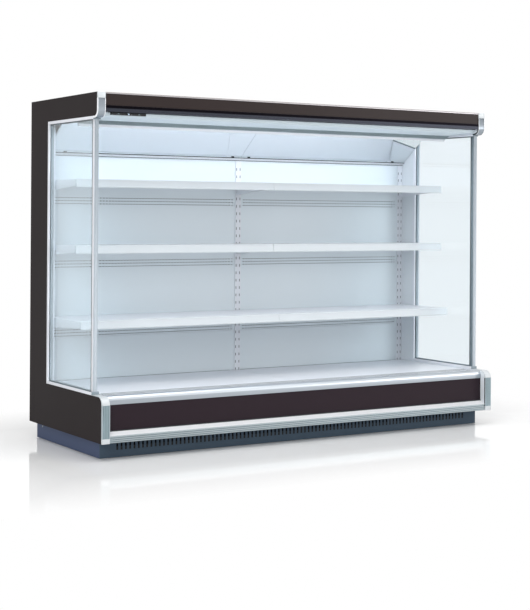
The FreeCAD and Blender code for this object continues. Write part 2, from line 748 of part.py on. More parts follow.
def mirrors():
    """Two mirror panels on the slope, meeting at mid width."""
    foot, direction, length = mirror_line()
    out = (direction[1] * MIRROR_THICK, -direction[0] * MIRROR_THICK)
    low = (foot[0] + direction[0] * MIRROR_MARGIN, foot[1] + direction[1] * MIRROR_MARGIN)
    reach = length - 3 * MIRROR_MARGIN
    high = (low[0] + direction[0] * reach, low[1] + direction[1] * reach)
    section = [low, high, (high[0] + out[0], high[1] + out[1]), (low[0] + out[0], low[1] + out[1])]
    return both_ends(profile(section, -inner + MIRROR_MARGIN, -FACE_GAP))


def canopy_lamp():
    """Lamp batten behind the discharge lip."""
    front = lip_back() - LAMP_GAP
    top = HEIGHT - DUCT_ROOF_DROP
    return profile([(front - LAMP_DEPTH, top), (front - LAMP_DEPTH, top - LAMP_HEIGHT, PANE),
                    (front, top - LAMP_HEIGHT, PANE), (front, top)],
                   -inner + LAMP_END_GAP, inner - LAMP_END_GAP)


# ================================================================ night blind
def blind_pull_bar():
    """Grooved bar along the blind's lower edge, with a leg that holds the cloth."""
    half = inner - 2 * FACE_GAP
    bar = profile([(bar_front - BAR_THICK, bar_top), (bar_front, bar_top), (bar_front, bar_bottom),
                   (bar_leg_back, bar_bottom), (bar_leg_back, bar_bottom + BAR_LEG_THICK),
                   (bar_front - BAR_THICK, bar_bottom + BAR_LEG_THICK)], -half, half)
    grooves = []
    for rise in spread(round(BAR_HEIGHT / BAR_GROOVE_PITCH) - 1, BAR_GROOVE_PITCH):
        height = (bar_top + bar_bottom) / 2 + rise
        grooves.append(block(-inner, inner, (bar_front - SHEET, bar_front + SHEET),
                             (height - BUMPER_GROOVE / 2, height + BUMPER_GROOVE / 2)))
    return cut_all(bar, grooves)


def roller_half():
    """Half length of the wound roller."""
    return inner - 3 * BLIND_BRACKET


def blind_roller():
    """Wound blind roller with a blind bore for a pin at each end."""
    half = roller_half()
    roller = along_x(ROLLER, 2 * half, -half, roller_station, roller_z)
    bore = along_x(ROLLER_PIN + RUNNING, PIN_LENGTH, -half - FACE_GAP, roller_station, roller_z)
    return cut_all(roller, both_ends(bore))


def blind_bracket():
    """Bracket and pin that carry one end of the roller, left hand."""
    plate = block(-inner, -inner + BLIND_BRACKET, (roller_station - ROLLER, roller_station + ROLLER / 2),
                  (roller_z - ROLLER / 2, roof_bottom))
    reach = PIN_LENGTH + inner - roller_half() - BLIND_BRACKET - 3 * FACE_GAP
    pin = along_x(ROLLER_PIN, reach, -inner + BLIND_BRACKET, roller_station, roller_z)
    return plate.fuse(pin)


def blind_cloth():
    """Free strip of the cloth from the roller down to the bar's leg."""
    half = roller_half()
    return block(-half, half, (cloth_back, cloth_back + CLOTH), (bar_bottom + BAR_LEG_THICK, roller_z))


# ================================================================ rear panels and shelves
def upright_places():
    """X of the slotted uprights' middles."""
    side = inner - UPRIGHT / 2
    return [-side, 0, side]


def hook_height(index):
    """Middle height of a hook slot."""
    return HOOK_FIRST + HOOK_PITCH * index


def shelf_uprights():
    """Three box uprights with two columns of hook slots in the face."""
    solids = []
    for x in upright_places():
        post = block(x - UPRIGHT / 2, x + UPRIGHT / 2, (REAR_WALL, upright_front),
                     (tank_floor, mirror_foot))
        hollow = block(x - UPRIGHT / 2 + UPRIGHT_WALL, x + UPRIGHT / 2 - UPRIGHT_WALL,
                       (REAR_WALL + UPRIGHT_WALL, upright_front - UPRIGHT_WALL),
                       (tank_floor - SHEET, mirror_foot + SHEET))
        slots = [hollow]
        for index in range(hook_count):
            for column in (-HOOK_COLUMN, HOOK_COLUMN):
                middle = hook_height(index)
                slots.append(block(x + column - HOOK_SLOT / 2, x + column + HOOK_SLOT / 2,
                                   (upright_front - 2 * UPRIGHT_WALL, upright_front + UPRIGHT_WALL),
                                   (middle - HOOK_SLOT_HEIGHT / 2, middle + HOOK_SLOT_HEIGHT / 2)))
        solids.append(cut_all(post, slots))
    return solids


def rear_panels():
    """Lower and upper rear panel of each bay, between the uprights."""
    solids = []
    left = -inner + UPRIGHT + CLEAR
    right = -UPRIGHT / 2 - CLEAR
    for low, high in ((deck_top + FACE_GAP, PANEL_SEAM), (PANEL_SEAM + FACE_GAP, mirror_foot - CLEAR)):
        solids += both_ends(block(left, right, (duct_front, panel_front), (low, high)))
    return solids


def shelf_top(level):
    """Height of a shelf's upper face."""
    return hook_height(shelf_slots[level]) + SHELF_ABOVE_HOOK


def shelf_front(level):
    """Station of a shelf tray's front, behind its price rail."""
    return upright_front + SHELF_DEPTH[level]


def shelf_trays(level):
    """Folded tray of one level in both bays."""
    top = shelf_top(level)
    stations = (upright_front + CLEAR, shelf_front(level))
    left = -inner + SHELF_END_GAP
    tray = block(left, -FACE_GAP, stations, (top - SHELF_LIP, top))
    inside = block(left + SHEET, -FACE_GAP - SHEET, (stations[0] - SHEET, stations[1] - SHEET),
                   (top - SHELF_LIP - SHEET, top - SHEET))
    return both_ends(tray.cut(inside))


def bracket_places():
    """X of the middle of each bracket, under the two ends of the left bay's tray."""
    end = upright_places()[0] - HOOK_COLUMN
    return end, -HOOK_COLUMN


def shelf_brackets():
    """Plates that hang in the hook slots and carry the trays."""
    solids = []
    for level in shelf_slots:
        top = shelf_top(level) - SHEET
        hook = hook_height(shelf_slots[level])
        rear = upright_front
        nose = shelf_front(level) - BRACKET_NOSE
        path = [(rear, top), (rear, top - BRACKET_REAR),
                (rear + BRACKET_SHOULDER, top - BRACKET_REAR + SHELF_LIP / 2, 2 * BRACKET_SHOULDER),
                (nose, top - BRACKET_FRONT, BRACKET_NOSE), (nose, top)]
        for x in bracket_places():
            plate = profile(path, x - BRACKET / 2, x + BRACKET / 2)
            tab = block(x - BRACKET / 2, x + BRACKET / 2,
                        (upright_front - HOOK_REACH, upright_front),
                        (hook - HOOK_TAB / 2, hook + HOOK_TAB / 2))
            solids += both_ends(plate.fuse(tab).removeSplitter())
    return solids


def price_rails():
    """Price rail clipped to the front of every tray."""
    solids = []
    for level in shelf_slots:
        top = shelf_top(level) + PRICE_RAIL_ABOVE
        rear = shelf_front(level)
        low = top - PRICE_RAIL_HEIGHT
        section = [(rear, top), (rear + PRICE_RAIL / 2, top, SHEET), (rear + PRICE_RAIL, low, SHEET),
                   (rear, low)]
        solids += both_ends(profile(section, -inner + SHELF_END_GAP, -FACE_GAP))
    return solids


# ================================================================ deck and air
def deck_trays():
    """Deck trays on folded legs that stand on the tank floor."""
    solids = []
    width = (inner - FACE_GAP) / DECK_PER_BAY
    stations = (upright_front + CLEAR, deck_front)
    for i in range(DECK_PER_BAY):
        left = -inner + i * width + FACE_GAP / 2
        right = left + width - FACE_GAP
        tray = block(left, right, stations, (deck_top - DECK_LIP, deck_top))
        inside = block(left + SHEET, right - SHEET, (stations[0] + SHEET, stations[1] - SHEET),
                       (deck_top - DECK_LIP - SHEET, deck_top - SHEET))
        tray = tray.cut(inside)
        legs = []
        for x in (left, right - DECK_LEG):
            for start in (stations[0], stations[1] - SHEET):
                legs.append(block(x, x + DECK_LEG, (start, start + SHEET),
                                  (tank_floor, deck_top - DECK_LIP)))
        solids += both_ends(tray.fuse(legs).removeSplitter())
    return solids


def return_grilles():
    """Slotted air return grille between the deck and the top rail, one per bay."""
    left = -inner + FACE_GAP
    right = -FACE_GAP
    plate = block(left, right, (grille_rear, grille_front), (deck_top - SHEET, deck_top))
    rear = block(left, right, (grille_rear, grille_rear + SHEET), (tank_floor, deck_top - SHEET))
    foot = block(left, right, (tank_front - INSULATION, tank_front - INSULATION + SHEET),
                 (tank_wall_top, deck_top - SHEET))
    window = block(left + DECK_LEG, right - DECK_LEG, (grille_rear - SHEET, grille_rear + 2 * SHEET),
                   (tank_floor - SHEET, deck_top - DECK_LIP))
    grille = plate.fuse([rear.cut(window), foot]).removeSplitter()
    room = GRILLE_DEPTH / GRILLE_ROWS
    slots = []
    middle = (left + right) / 2
    count = int((right - left - 2 * DECK_LEG) / GRILLE_PITCH)
    for x in spread(count, GRILLE_PITCH):
        for row in range(GRILLE_ROWS):
            centre = grille_rear + room * (row + 0.5)
            slots.append(block(middle + x - GRILLE_SLOT / 2, middle + x + GRILLE_SLOT / 2,
                               (centre - GRILLE_SLOT_LENGTH / 2, centre + GRILLE_SLOT_LENGTH / 2),
                               (deck_top - 2 * SHEET, deck_top + SHEET)))
    return both_ends(cut_all(grille, slots))


def evaporator_coil():
    """Finned evaporator between two end plates that stand on the tank floor."""
    stations = (COIL_START, COIL_START + COIL_DEPTH)
    fins = block(-coil_half + COIL_PLATE, coil_half - COIL_PLATE, stations,
                 (tank_floor + COIL_PLATE, tank_floor + COIL_HEIGHT))
    plate = block(-coil_half, -coil_half + COIL_PLATE, stations,
                  (tank_floor, tank_floor + COIL_HEIGHT))
    return [fins] + both_ends(plate)


def fan_tilt():
    """Angle of the fan plate above level, and the station and height of its middle."""
    top = deck_top - DECK_LIP
    rise = top - tank_floor
    middle = (fan_plate_rear + fan_plate_front) / 2
    return math.atan2(rise, FAN_PLATE_DEPTH), middle, (top + tank_floor) / 2


def on_fan_plate(shape, x):
    """Move a shape made round +Z onto the fan plate, +Z pointing up and to the rear."""
    tilt, station, height = fan_tilt()
    moved = shape.copy()
    moved.rotate(V(0, 0, 0), V(1, 0, 0), -math.degrees(tilt))
    moved.translate(V(x, y_of(station), height))
    return moved


def evaporator_fan_plate():
    """Sloping plate across the tank with a round opening for each fan."""
    half_run = math.hypot(FAN_PLATE_DEPTH, deck_top - DECK_LIP - tank_floor) / 2
    plate = Part.makeBox(2 * inner, 2 * half_run, SHEET, V(-inner, -half_run, -SHEET / 2))
    plate = on_fan_plate(plate, 0)
    room = block(-inner - SHEET, inner + SHEET, (0, DEPTH), (tank_floor, deck_top - DECK_LIP))
    holes = []
    for x in spread(FAN_COUNT, FAN_PITCH):
        hole = Part.makeCylinder(FAN_RADIUS + FAN_GAP, 4 * SHEET, V(0, 0, -2 * SHEET))
        holes.append(on_fan_plate(hole, x))
    return cut_all(plate.common(room), holes)


def impeller(radius, hub, thickness, blades):
    """Axial fan round +Z with pitched blades and a bore for the motor's shaft."""
    ring = Part.makeCylinder(radius, thickness, V(0, 0, -thickness / 2))
    solid = Part.makeCylinder(hub, thickness, V(0, 0, -thickness / 2))
    sweep = []
    for i in range(blades):
        blade = Part.makeBox(radius, 2 * thickness, FAN_BLADE, V(hub / 2, -thickness, -FAN_BLADE / 2))
        blade.rotate(V(0, 0, 0), V(1, 0, 0), BLADE_ANGLE)
        blade.rotate(V(0, 0, 0), V(0, 0, 1), 360 * i / blades)
        sweep.append(blade.common(ring))
    bore = Part.makeCylinder(FAN_SHAFT + RUNNING, 2 * thickness, V(0, 0, -thickness))
    return solid.fuse(sweep).removeSplitter().cut(bore)


def evaporator_fan(x):
    """Fan in one opening of the fan plate."""
    return on_fan_plate(impeller(FAN_RADIUS, FAN_HUB, FAN_THICK, FAN_BLADES), x)


def evaporator_fan_motors():
    """Motor, shaft and bracket arm behind each fan."""
    solids = []
    low = FAN_THICK / 2 + FAN_CLEAR
    reach = FAN_RADIUS + FAN_GAP + FAN_ARM
    for x in spread(FAN_COUNT, FAN_PITCH):
        motor = Part.makeCylinder(FAN_MOTOR, FAN_MOTOR_LENGTH, V(0, 0, low))
        shaft = Part.makeCylinder(FAN_SHAFT, low + FAN_THICK / 2, V(0, 0, -FAN_THICK / 2))
        arm = Part.makeBox(2 * reach, FAN_ARM, FAN_ARM_THICK, V(-reach, -FAN_ARM / 2, low))
        pieces = [shaft, arm]
        for side in (-reach, reach - FAN_ARM / 2):
            pieces.append(Part.makeBox(FAN_ARM / 2, FAN_ARM, low - SHEET / 2,
                                       V(side, -FAN_ARM / 2, SHEET / 2)))
        solids.append(on_fan_plate(motor.fuse(pieces).removeSplitter(), x))
    return solids


# ================================================================ condensing unit
def condenser_coil():
    """Finned condenser behind the kick plate's slots."""
    return block(cond_left, cond_right, (cond_rear, cond_front),
                 (machine_floor, machine_floor + COND_HEIGHT))


def condenser_fan_places():
    """X of the condenser fans."""
    middle = (cond_left + cond_right) / 2
    return [middle + x for x in spread(COND_FANS, COND_FAN_PITCH)]


def condenser_axis():
    """Station of the condenser fans' middle and height of their axes."""
    return shroud_rear + SHEET / 2, machine_floor + COND_HEIGHT / 2


def condenser_shroud():
    """Shroud from the condenser back to the fan openings."""
    heights = (machine_floor, machine_floor + COND_HEIGHT)
    shroud = block(cond_left, cond_right, (shroud_rear, cond_rear), heights)
    inside = block(cond_left + SHEET, cond_right - SHEET, (shroud_rear + SHEET, cond_front),
                   (heights[0] + SHEET, heights[1] - SHEET))
    height = condenser_axis()[1]
    holes = [inside]
    for x in condenser_fan_places():
        holes.append(along_y(COND_FAN_RADIUS + COND_FAN_GAP, 4 * SHEET, x, shroud_rear - SHEET,
                             height))
    return cut_all(shroud, holes)


def condenser_fan(x):
    """Fan in one opening of the shroud."""
    station, height = condenser_axis()
    fan = impeller(COND_FAN_RADIUS, COND_MOTOR, COND_FAN_THICK, COND_FAN_BLADES)
    fan.rotate(V(0, 0, 0), V(1, 0, 0), 90)
    fan.translate(V(x, y_of(station), height))
    return fan


def condenser_fan_motors():
    """Motor, shaft and foot behind each condenser fan."""
    station, height = condenser_axis()
    front = station - COND_FAN_THICK / 2 - FAN_CLEAR
    solids = []
    for x in condenser_fan_places():
        motor = along_y(COND_MOTOR, COND_MOTOR_LENGTH, x, front - COND_MOTOR_LENGTH, height)
        shaft = along_y(FAN_SHAFT, FAN_CLEAR + COND_FAN_THICK, x, front, height)
        middle = front - COND_MOTOR_LENGTH / 2
        foot = block(x - FAN_ARM, x + FAN_ARM, (middle - FAN_ARM / 2, middle + FAN_ARM / 2),
                     (machine_floor, height))
        solids.append(motor.fuse([shaft, foot]).removeSplitter())
    return solids


def compressor_z():
    """Height of the compressor's axis."""
    return machine_floor + COMP_FOOT + COMP_RADIUS


def compressor():
    """Low horizontal compressor with domed ends on feet."""
    half = COMP_LENGTH / 2
    body = along_x(COMP_RADIUS, COMP_LENGTH, comp_x - half, COMP_STATION, compressor_z())
    rims = [edge for edge in body.Edges if abs(edge.BoundBox.XLength) < 1e-3]
    body = body.makeFillet(COMP_RADIUS / 2, rims)
    feet = []
    for x in (comp_x - half / 2, comp_x + half / 2):
        feet.append(block(x - RAIL_WIDTH / 2, x + RAIL_WIDTH / 2,
                          (COMP_STATION - COMP_RADIUS, COMP_STATION + COMP_RADIUS),
                          (machine_floor, machine_floor + COMP_FOOT + SHEET)))
    return body.fuse(feet)


def liquid_receiver():
    """Receiver cylinder on a saddle in the machine bay."""
    height = machine_floor + COMP_FOOT + RECEIVER_RADIUS
    body = along_x(RECEIVER_RADIUS, RECEIVER_LENGTH, receiver_x, RECEIVER_STATION, height)
    rims = [edge for edge in body.Edges if abs(edge.BoundBox.XLength) < 1e-3]
    body = body.makeFillet(RECEIVER_RADIUS / 2, rims)
    middle = receiver_x + RECEIVER_LENGTH / 2
    saddle = block(middle - RAIL_WIDTH, middle + RAIL_WIDTH,
                   (RECEIVER_STATION - RECEIVER_RADIUS / 2, RECEIVER_STATION + RECEIVER_RADIUS / 2),
                   (machine_floor, height - RECEIVER_RADIUS / 2))
    return body.fuse(saddle)


def tube(points, radius, bend):
    """Round tube along a path of (x, station, height) points with equal bends."""
    places = [V(x, y_of(station), height) for x, station, height in points]
    edges = []
    start = places[0]
    for i in range(1, len(places) - 1):
        back = (places[i - 1] - places[i]).normalize()
        ahead = (places[i + 1] - places[i]).normalize()
        half = back.getAngle(ahead) / 2
        enter = places[i] + back * (bend / math.tan(half))
        leave = places[i] + ahead * (bend / math.tan(half))
        middle = places[i] + (back + ahead).normalize() * (bend / math.sin(half) - bend)
        edges.append(Part.LineSegment(start, enter).toShape())
        edges.append(Part.Arc(enter, middle, leave).toShape())
        start = leave
    edges.append(Part.LineSegment(start, places[-1]).toShape())
    wire = Part.Wire(edges)
    direction = (places[1] - places[0]).normalize()
    circle = Part.Wire([Part.makeCircle(radius, places[0], direction)])
    return wire.makePipeShell([circle], True, False)


def pipe_riser_x():
    """X of the pipes that rise beside the evaporator's left end."""
    return -coil_half - 2 * RAIL_WIDTH


def coil_pipe_station():
    """Station where the pipes reach the evaporator's end plate."""
    return COIL_START + COIL_DEPTH / 2


def refrigerant_pipes():
    """Discharge, liquid, suction and feed lines between the four parts of the circuit."""
    high = compressor_z() + COMP_RADIUS / 4
    comp_end = comp_x + COMP_LENGTH / 2 - CLEAR
    comp_start = comp_x - COMP_LENGTH / 2 + CLEAR
    cond_station = (cond_front + cond_rear) / 2
    receiver_z = machine_floor + COMP_FOOT + RECEIVER_RADIUS
    receiver_end = receiver_x + RECEIVER_LENGTH
    low = rail_top_z + 2 * PIPE
    beside = cond_right + 3 * PIPE_BEND
    discharge = [(comp_end, COMP_STATION, high), (beside, COMP_STATION, high),
                 (beside, cond_station, high), (cond_right, cond_station, high)]
    liquid = [(cond_right, cond_station, low), (beside, cond_station, low),
              (beside, RECEIVER_STATION, receiver_z),
              (receiver_x + CLEAR, RECEIVER_STATION, receiver_z)]
    riser = pipe_riser_x()
    station = coil_pipe_station()
    middle = tank_floor + COIL_HEIGHT / 2
    suction = [(comp_start, COMP_STATION, high), (riser, COMP_STATION, high),
               (riser, station, high), (riser, station, middle), (-coil_half, station, middle)]
    between = (COMP_STATION + COMP_RADIUS + RECEIVER_STATION - RECEIVER_RADIUS) / 2
    behind = station - RAIL_WIDTH
    beyond = receiver_end + 2 * PIPE_BEND
    inlet = middle - RAIL_WIDTH / 2
    feed = [(receiver_end - CLEAR, RECEIVER_STATION, receiver_z),
            (beyond, RECEIVER_STATION, receiver_z), (beyond, between, receiver_z),
            (riser, between, receiver_z), (riser, behind, receiver_z), (riser, behind, inlet),
            (-coil_half, behind, inlet)]
    lines = [tube(path, PIPE, PIPE_BEND) for path in (discharge, liquid, feed)]
    lines.append(tube(suction, SUCTION_PIPE, PIPE_BEND))
    vessels = compressor().fuse(liquid_receiver())
    return [line.cut(vessels) for line in lines]


def evaporation_tray():
    """Open tray under the drain, warmed by the unit's air."""
    stations = (EVAP_TRAY_START, EVAP_TRAY_START + EVAP_TRAY_DEPTH)
    top = machine_floor + EVAP_TRAY_HEIGHT
    tray = block(evap_tray_left, evap_tray_right, stations, (machine_floor, top))
    inside = block(evap_tray_left + SHEET, evap_tray_right - SHEET,
                   (stations[0] + SHEET, stations[1] - SHEET), (machine_floor + SHEET, top + SHEET))
    return tray.cut(inside)


def electrical_box():
    """Closed box for the controller's electronics and the mains terminals."""
    return block(elec_left, elec_left + ELEC_LENGTH, (elec_front - ELEC_DEPTH, elec_front),
                 (machine_floor, machine_floor + ELEC_HEIGHT))


# ================================================================ controls
def housing_box():
    """X range, stations and heights of the control housing."""
    left = -WIDTH / 2 + HOUSING_FROM_END
    top = HEIGHT - SOFFIT_FRONT_DROP
    front = bar_leg_back - FACE_GAP - BUTTON_PROUD
    return (left, left + HOUSING_LENGTH), (front - HOUSING_DEPTH, front), (top - HOUSING_HEIGHT, top)


def button_places():
    """X of the two buttons."""
    middle = -WIDTH / 2 + HOUSING_FROM_END + HOUSING_LENGTH / 2
    return middle - BUTTON_SPREAD, middle + BUTTON_SPREAD


def control_housing():
    """Housing under the soffit's front edge with a display window and two button holes."""
    (left, right), stations, heights = housing_box()
    box = block(left, right, stations, heights)
    hollow = block(left + HOUSING_WALL, right - HOUSING_WALL,
                   (stations[0] + HOUSING_WALL, stations[1] - HOUSING_WALL),
                   (heights[0] + HOUSING_WALL, heights[1] - HOUSING_WALL))
    middle = (left + right) / 2
    height = (heights[0] + heights[1]) / 2
    cuts = [hollow, block(middle - DISPLAY_WIDTH / 2, middle + DISPLAY_WIDTH / 2,
                          (stations[1] - HOUSING_WALL / 2, stations[1] + SHEET),
                          (height - DISPLAY_HEIGHT / 2, height + DISPLAY_HEIGHT / 2))]
    for x in button_places():
        cuts.append(block(x - BUTTON_WIDTH / 2 - BUTTON_GAP, x + BUTTON_WIDTH / 2 + BUTTON_GAP,
                          (stations[1] - 2 * HOUSING_WALL, stations[1] + SHEET),
                          (height - BUTTON_HEIGHT / 2 - BUTTON_GAP,
                           height + BUTTON_HEIGHT / 2 + BUTTON_GAP)))
    soffit_room = folded([(soffit_bend - DEPTH / 2, HEIGHT - SOFFIT_BEND_DROP),
                          (soffit_bend, HEIGHT - SOFFIT_BEND_DROP),
                          (soffit_front, HEIGHT - SOFFIT_FRONT_DROP)], 2 * HOUSING_DEPTH,
                         left - SHEET, right + SHEET)
    return cut_all(box, cuts).cut(soffit_room)


def control_button(x):
    """Push-button that moves straight back into the housing."""
    stations, heights = housing_box()[1:]
    height = (heights[0] + heights[1]) / 2
    return block(x - BUTTON_WIDTH / 2, x + BUTTON_WIDTH / 2,
                 (stations[1] - BUTTON_STEM, stations[1] + BUTTON_PROUD),
                 (height - BUTTON_HEIGHT / 2, height + BUTTON_HEIGHT / 2))


def screws():
    """Pan-head screws of the side kick plates, near their upper corners."""
    solids = []
    for station in (KICK_REAR + 2 * RAIL_WIDTH, kick_front - 2 * RAIL_WIDTH):
        head = along_x(SCREW_HEAD, SCREW_HEAD_HEIGHT, -kick_half - SCREW_HEAD_HEIGHT, station,
                       UNDERSIDE - RAIL_WIDTH / 2)
        solids += both_ends(head)
    return solids


# ================================================================ write every node
def mirrored(makers):
    """Left-hand solids and their mirror images at the right end."""
    solids = []
    for solid in makers:
        solids += both_ends(solid)
    return solids


def main():
    os.makedirs("parts", exist_ok=True)
    save("base_frame", base_frame())
    save("levelling_feet", levelling_feet())
    save("kick_plate_front", kick_plate_front())
    save("kick_plate_sides", kick_plate_sides())
    save("rear_service_grille", rear_service_grille())
    save("tank_shell", tank_shell())
    save("drain_outlet", drain_outlet())
    save("rear_wall", rear_wall())
    save("canopy_roof", canopy_roof())
    left_end, right_end = both_ends(end_panel())
    save("end_panel_left", left_end)
    save("end_panel_right", right_end)
    save("end_liners", both_ends(end_liner()))
    save("window_frames", mirrored(window_frame()))
    save("side_glass", mirrored(side_glass()))
    save("front_posts", both_ends(front_post()))
    save("end_trims", mirrored(end_trims()))
    save("corner_caps", mirrored(corner_caps()))
    save("top_rail", top_rail())
    save("front_panel", front_panel())
    save("bumper_rail", bumper_rail())
    save("canopy_fascia", canopy_fascia())
    save("canopy_top_trim", canopy_top_trim())
    save("canopy_soffit", canopy_soffit())
    save("discharge_honeycomb", discharge_honeycomb())
    save("canopy_duct_panel", canopy_duct_panel())
    save("mirrors", mirrors())
    save("canopy_lamp", canopy_lamp())
    save("blind_pull_bar", blind_pull_bar())
    save("blind_roller", blind_roller())
    save("blind_brackets", both_ends(blind_bracket()))
    save("blind_cloth", blind_cloth())
    save("shelf_uprights", shelf_uprights())
    save("rear_panels", rear_panels())
    for level in shelf_slots:
        save("shelf_" + level, shelf_trays(level))
    save("shelf_brackets", shelf_brackets())
    save("price_rails", price_rails())
    save("deck_trays", deck_trays())
    save("return_grilles", return_grilles())
    save("evaporator_coil", evaporator_coil())
    save("evaporator_fan_plate", evaporator_fan_plate())
    save("evaporator_fan_motors", evaporator_fan_motors())
    for number, x in enumerate(spread(FAN_COUNT, FAN_PITCH)):
        save("evaporator_fan_" + str(number + 1), evaporator_fan(x))
    save("condenser_coil", condenser_coil())
    save("condenser_shroud", condenser_shroud())
    save("condenser_fan_motors", condenser_fan_motors())
    for number, x in enumerate(condenser_fan_places()):
        save("condenser_fan_" + str(number + 1), condenser_fan(x))
    save("compressor", compressor())
    save("liquid_receiver", liquid_receiver())
    save("refrigerant_pipes", refrigerant_pipes())
    save("evaporation_tray", evaporation_tray())
    save("electrical_box", electrical_box())
    save("control_housing", control_housing())
    set_button, lamp_button = button_places()
    save("set_button", control_button(set_button))
    save("lamp_button", control_button(lamp_button))
    save("screws", screws())


main()
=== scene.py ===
# Open multideck display fridge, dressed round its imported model: a plug-in wall case with glazed
# ends, lacquered shelves, an inclined mirror, a canopy with a night blind and aluminium edges.
# Metres. +X is the right end, -Y the open front, +Z up, and the origin is on the floor.
import math
import bpy
from mathutils import Matrix, Vector


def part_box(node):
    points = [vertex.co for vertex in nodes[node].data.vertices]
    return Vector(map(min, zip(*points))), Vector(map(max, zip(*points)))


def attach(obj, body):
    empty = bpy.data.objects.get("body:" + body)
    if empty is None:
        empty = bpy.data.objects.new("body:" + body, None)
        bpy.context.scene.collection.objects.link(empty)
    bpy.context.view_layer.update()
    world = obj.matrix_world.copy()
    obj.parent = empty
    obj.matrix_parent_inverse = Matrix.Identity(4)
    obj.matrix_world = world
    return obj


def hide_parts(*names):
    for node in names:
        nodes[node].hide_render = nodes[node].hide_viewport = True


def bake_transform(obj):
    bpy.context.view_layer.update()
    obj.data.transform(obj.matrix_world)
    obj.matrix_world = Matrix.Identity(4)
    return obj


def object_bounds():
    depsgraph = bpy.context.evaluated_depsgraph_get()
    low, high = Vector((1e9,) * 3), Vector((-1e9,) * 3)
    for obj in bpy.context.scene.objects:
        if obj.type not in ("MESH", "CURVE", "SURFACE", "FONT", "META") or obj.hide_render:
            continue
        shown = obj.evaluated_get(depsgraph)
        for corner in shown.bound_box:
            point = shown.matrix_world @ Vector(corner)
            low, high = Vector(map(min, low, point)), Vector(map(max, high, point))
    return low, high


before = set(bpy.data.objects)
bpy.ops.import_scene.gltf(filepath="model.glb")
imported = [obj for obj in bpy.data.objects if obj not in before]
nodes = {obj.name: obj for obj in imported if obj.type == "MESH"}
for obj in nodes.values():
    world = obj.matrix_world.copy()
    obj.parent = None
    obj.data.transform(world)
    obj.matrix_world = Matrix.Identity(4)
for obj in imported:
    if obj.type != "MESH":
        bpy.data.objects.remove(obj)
cad_low, cad_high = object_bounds()


# ---------------------------------------------------------------- camera
# The place, turn and lens that the picture was taken with, fitted to the case's own edges. The
# horizon lies above the middle of the picture, which the small shift gives.
CAMERA_AT = (-4.3808, -6.9641, 1.2739)
CAMERA_YAW = math.radians(31.99)
CAMERA_ROLL = math.radians(0.38)
PICTURE_HEIGHT = 610
FOCAL_PIXELS = 1399.1
HORIZON_PIXEL = 214.08

eye = bpy.data.cameras.new("camera")
eye.sensor_width = 36.0
eye.lens = FOCAL_PIXELS / PICTURE_HEIGHT * eye.sensor_width
eye.shift_y = -(PICTURE_HEIGHT / 2 - HORIZON_PIXEL) / PICTURE_HEIGHT
camera = bpy.data.objects.new("camera", eye)
bpy.context.scene.collection.objects.link(camera)
ahead = Vector((math.sin(CAMERA_YAW), math.cos(CAMERA_YAW), 0))
right = Vector((math.cos(CAMERA_YAW), -math.sin(CAMERA_YAW), 0))
up = Vector((0, 0, 1))
tilted_right = right * math.cos(CAMERA_ROLL) + up * math.sin(CAMERA_ROLL)
tilted_up = up * math.cos(CAMERA_ROLL) - right * math.sin(CAMERA_ROLL)
turn = Matrix((tilted_right, tilted_up, -ahead)).transposed()
camera.matrix_world = Matrix.Translation(CAMERA_AT) @ turn.to_4x4()
bpy.context.scene.camera = camera
bpy.context.scene.view_settings.view_transform = "Standard"


# ---------------------------------------------------------------- studio
# A white room: a pale polished floor that mirrors the case's foot and fades to plain white
# further out, an even white sky, and three large soft boxes.
SKY_LIGHT = 0.48
FLOOR_WHITE = "#ffffff"
FLOOR_ROUGHNESS = 0.07
FLOOR_SIZE = 60
FLOOR_GLOW = 0.03  # share of plain white at the case's foot
FLOOR_FADE = (0.3, 1.0)  # metres from the case over which the floor turns plain white


def linear(colour):
    """sRGB hex to the linear values that Blender's sockets take."""
    values = [int(colour[i:i + 2], 16) / 255 for i in (1, 3, 5)]
    return [v / 12.92 if v <= 0.04045 else ((v + 0.055) / 1.055) ** 2.4 for v in values] + [1]


def add(tree, kind, feeds=None, **settings):
    """One node in a tree, with its settings, and its inputs set or fed from other nodes."""
    node = tree.nodes.new("ShaderNode" + kind)
    for name, value in settings.items():
        setattr(node, name, value)
    for name, value in (feeds or {}).items():
        if isinstance(value, bpy.types.NodeSocket):
            tree.links.new(value, node.inputs[name])
        else:
            node.inputs[name].default_value = value
    return node


def blank(name, settings):
    """A material with its shader's plain values set, its node tree and its shader."""
    material = bpy.data.materials.new(name)
    material.use_nodes = True
    surface = material.node_tree.nodes["Principled BSDF"]
    for socket, value in settings.items():
        surface.inputs[socket].default_value = value
    return material, material.node_tree, surface


def area_lamp(name, place, width, height, watts):
    """A rectangular lamp that shines straight down."""
    light = bpy.data.lights.new(name, "AREA")
    light.shape = "RECTANGLE"
    light.size = width
    light.size_y = height
    light.energy = watts
    lamp = bpy.data.objects.new(name, light)
    bpy.context.scene.collection.objects.link(lamp)
    lamp.location = place
    return lamp


def seen_share(tree, share):
    """A share for what the camera, metal and glass see, and 0 for what lights the case."""
    path = add(tree, "LightPath")
    seen = add(tree, "Math", {0: path.outputs["Is Camera Ray"], 1: path.outputs["Is Glossy Ray"]},
               operation="MAXIMUM")
    seen = add(tree, "Math", {0: seen.outputs[0], 1: path.outputs["Is Transmission Ray"]},
               operation="MAXIMUM")
    return add(tree, "Math", {0: seen.outputs[0], 1: share}, operation="MULTIPLY").outputs[0]


sky = bpy.data.worlds.new("white_sky")
bpy.context.scene.world = sky
sky.use_nodes = True
tree = sky.node_tree
back = tree.nodes["Background"]
back.inputs["Color"].default_value = (1, 1, 1, 1)
glow = add(tree, "Math", {0: seen_share(tree, 1 - SKY_LIGHT), 1: SKY_LIGHT}, operation="ADD")
tree.links.new(glow.outputs[0], back.inputs["Strength"])

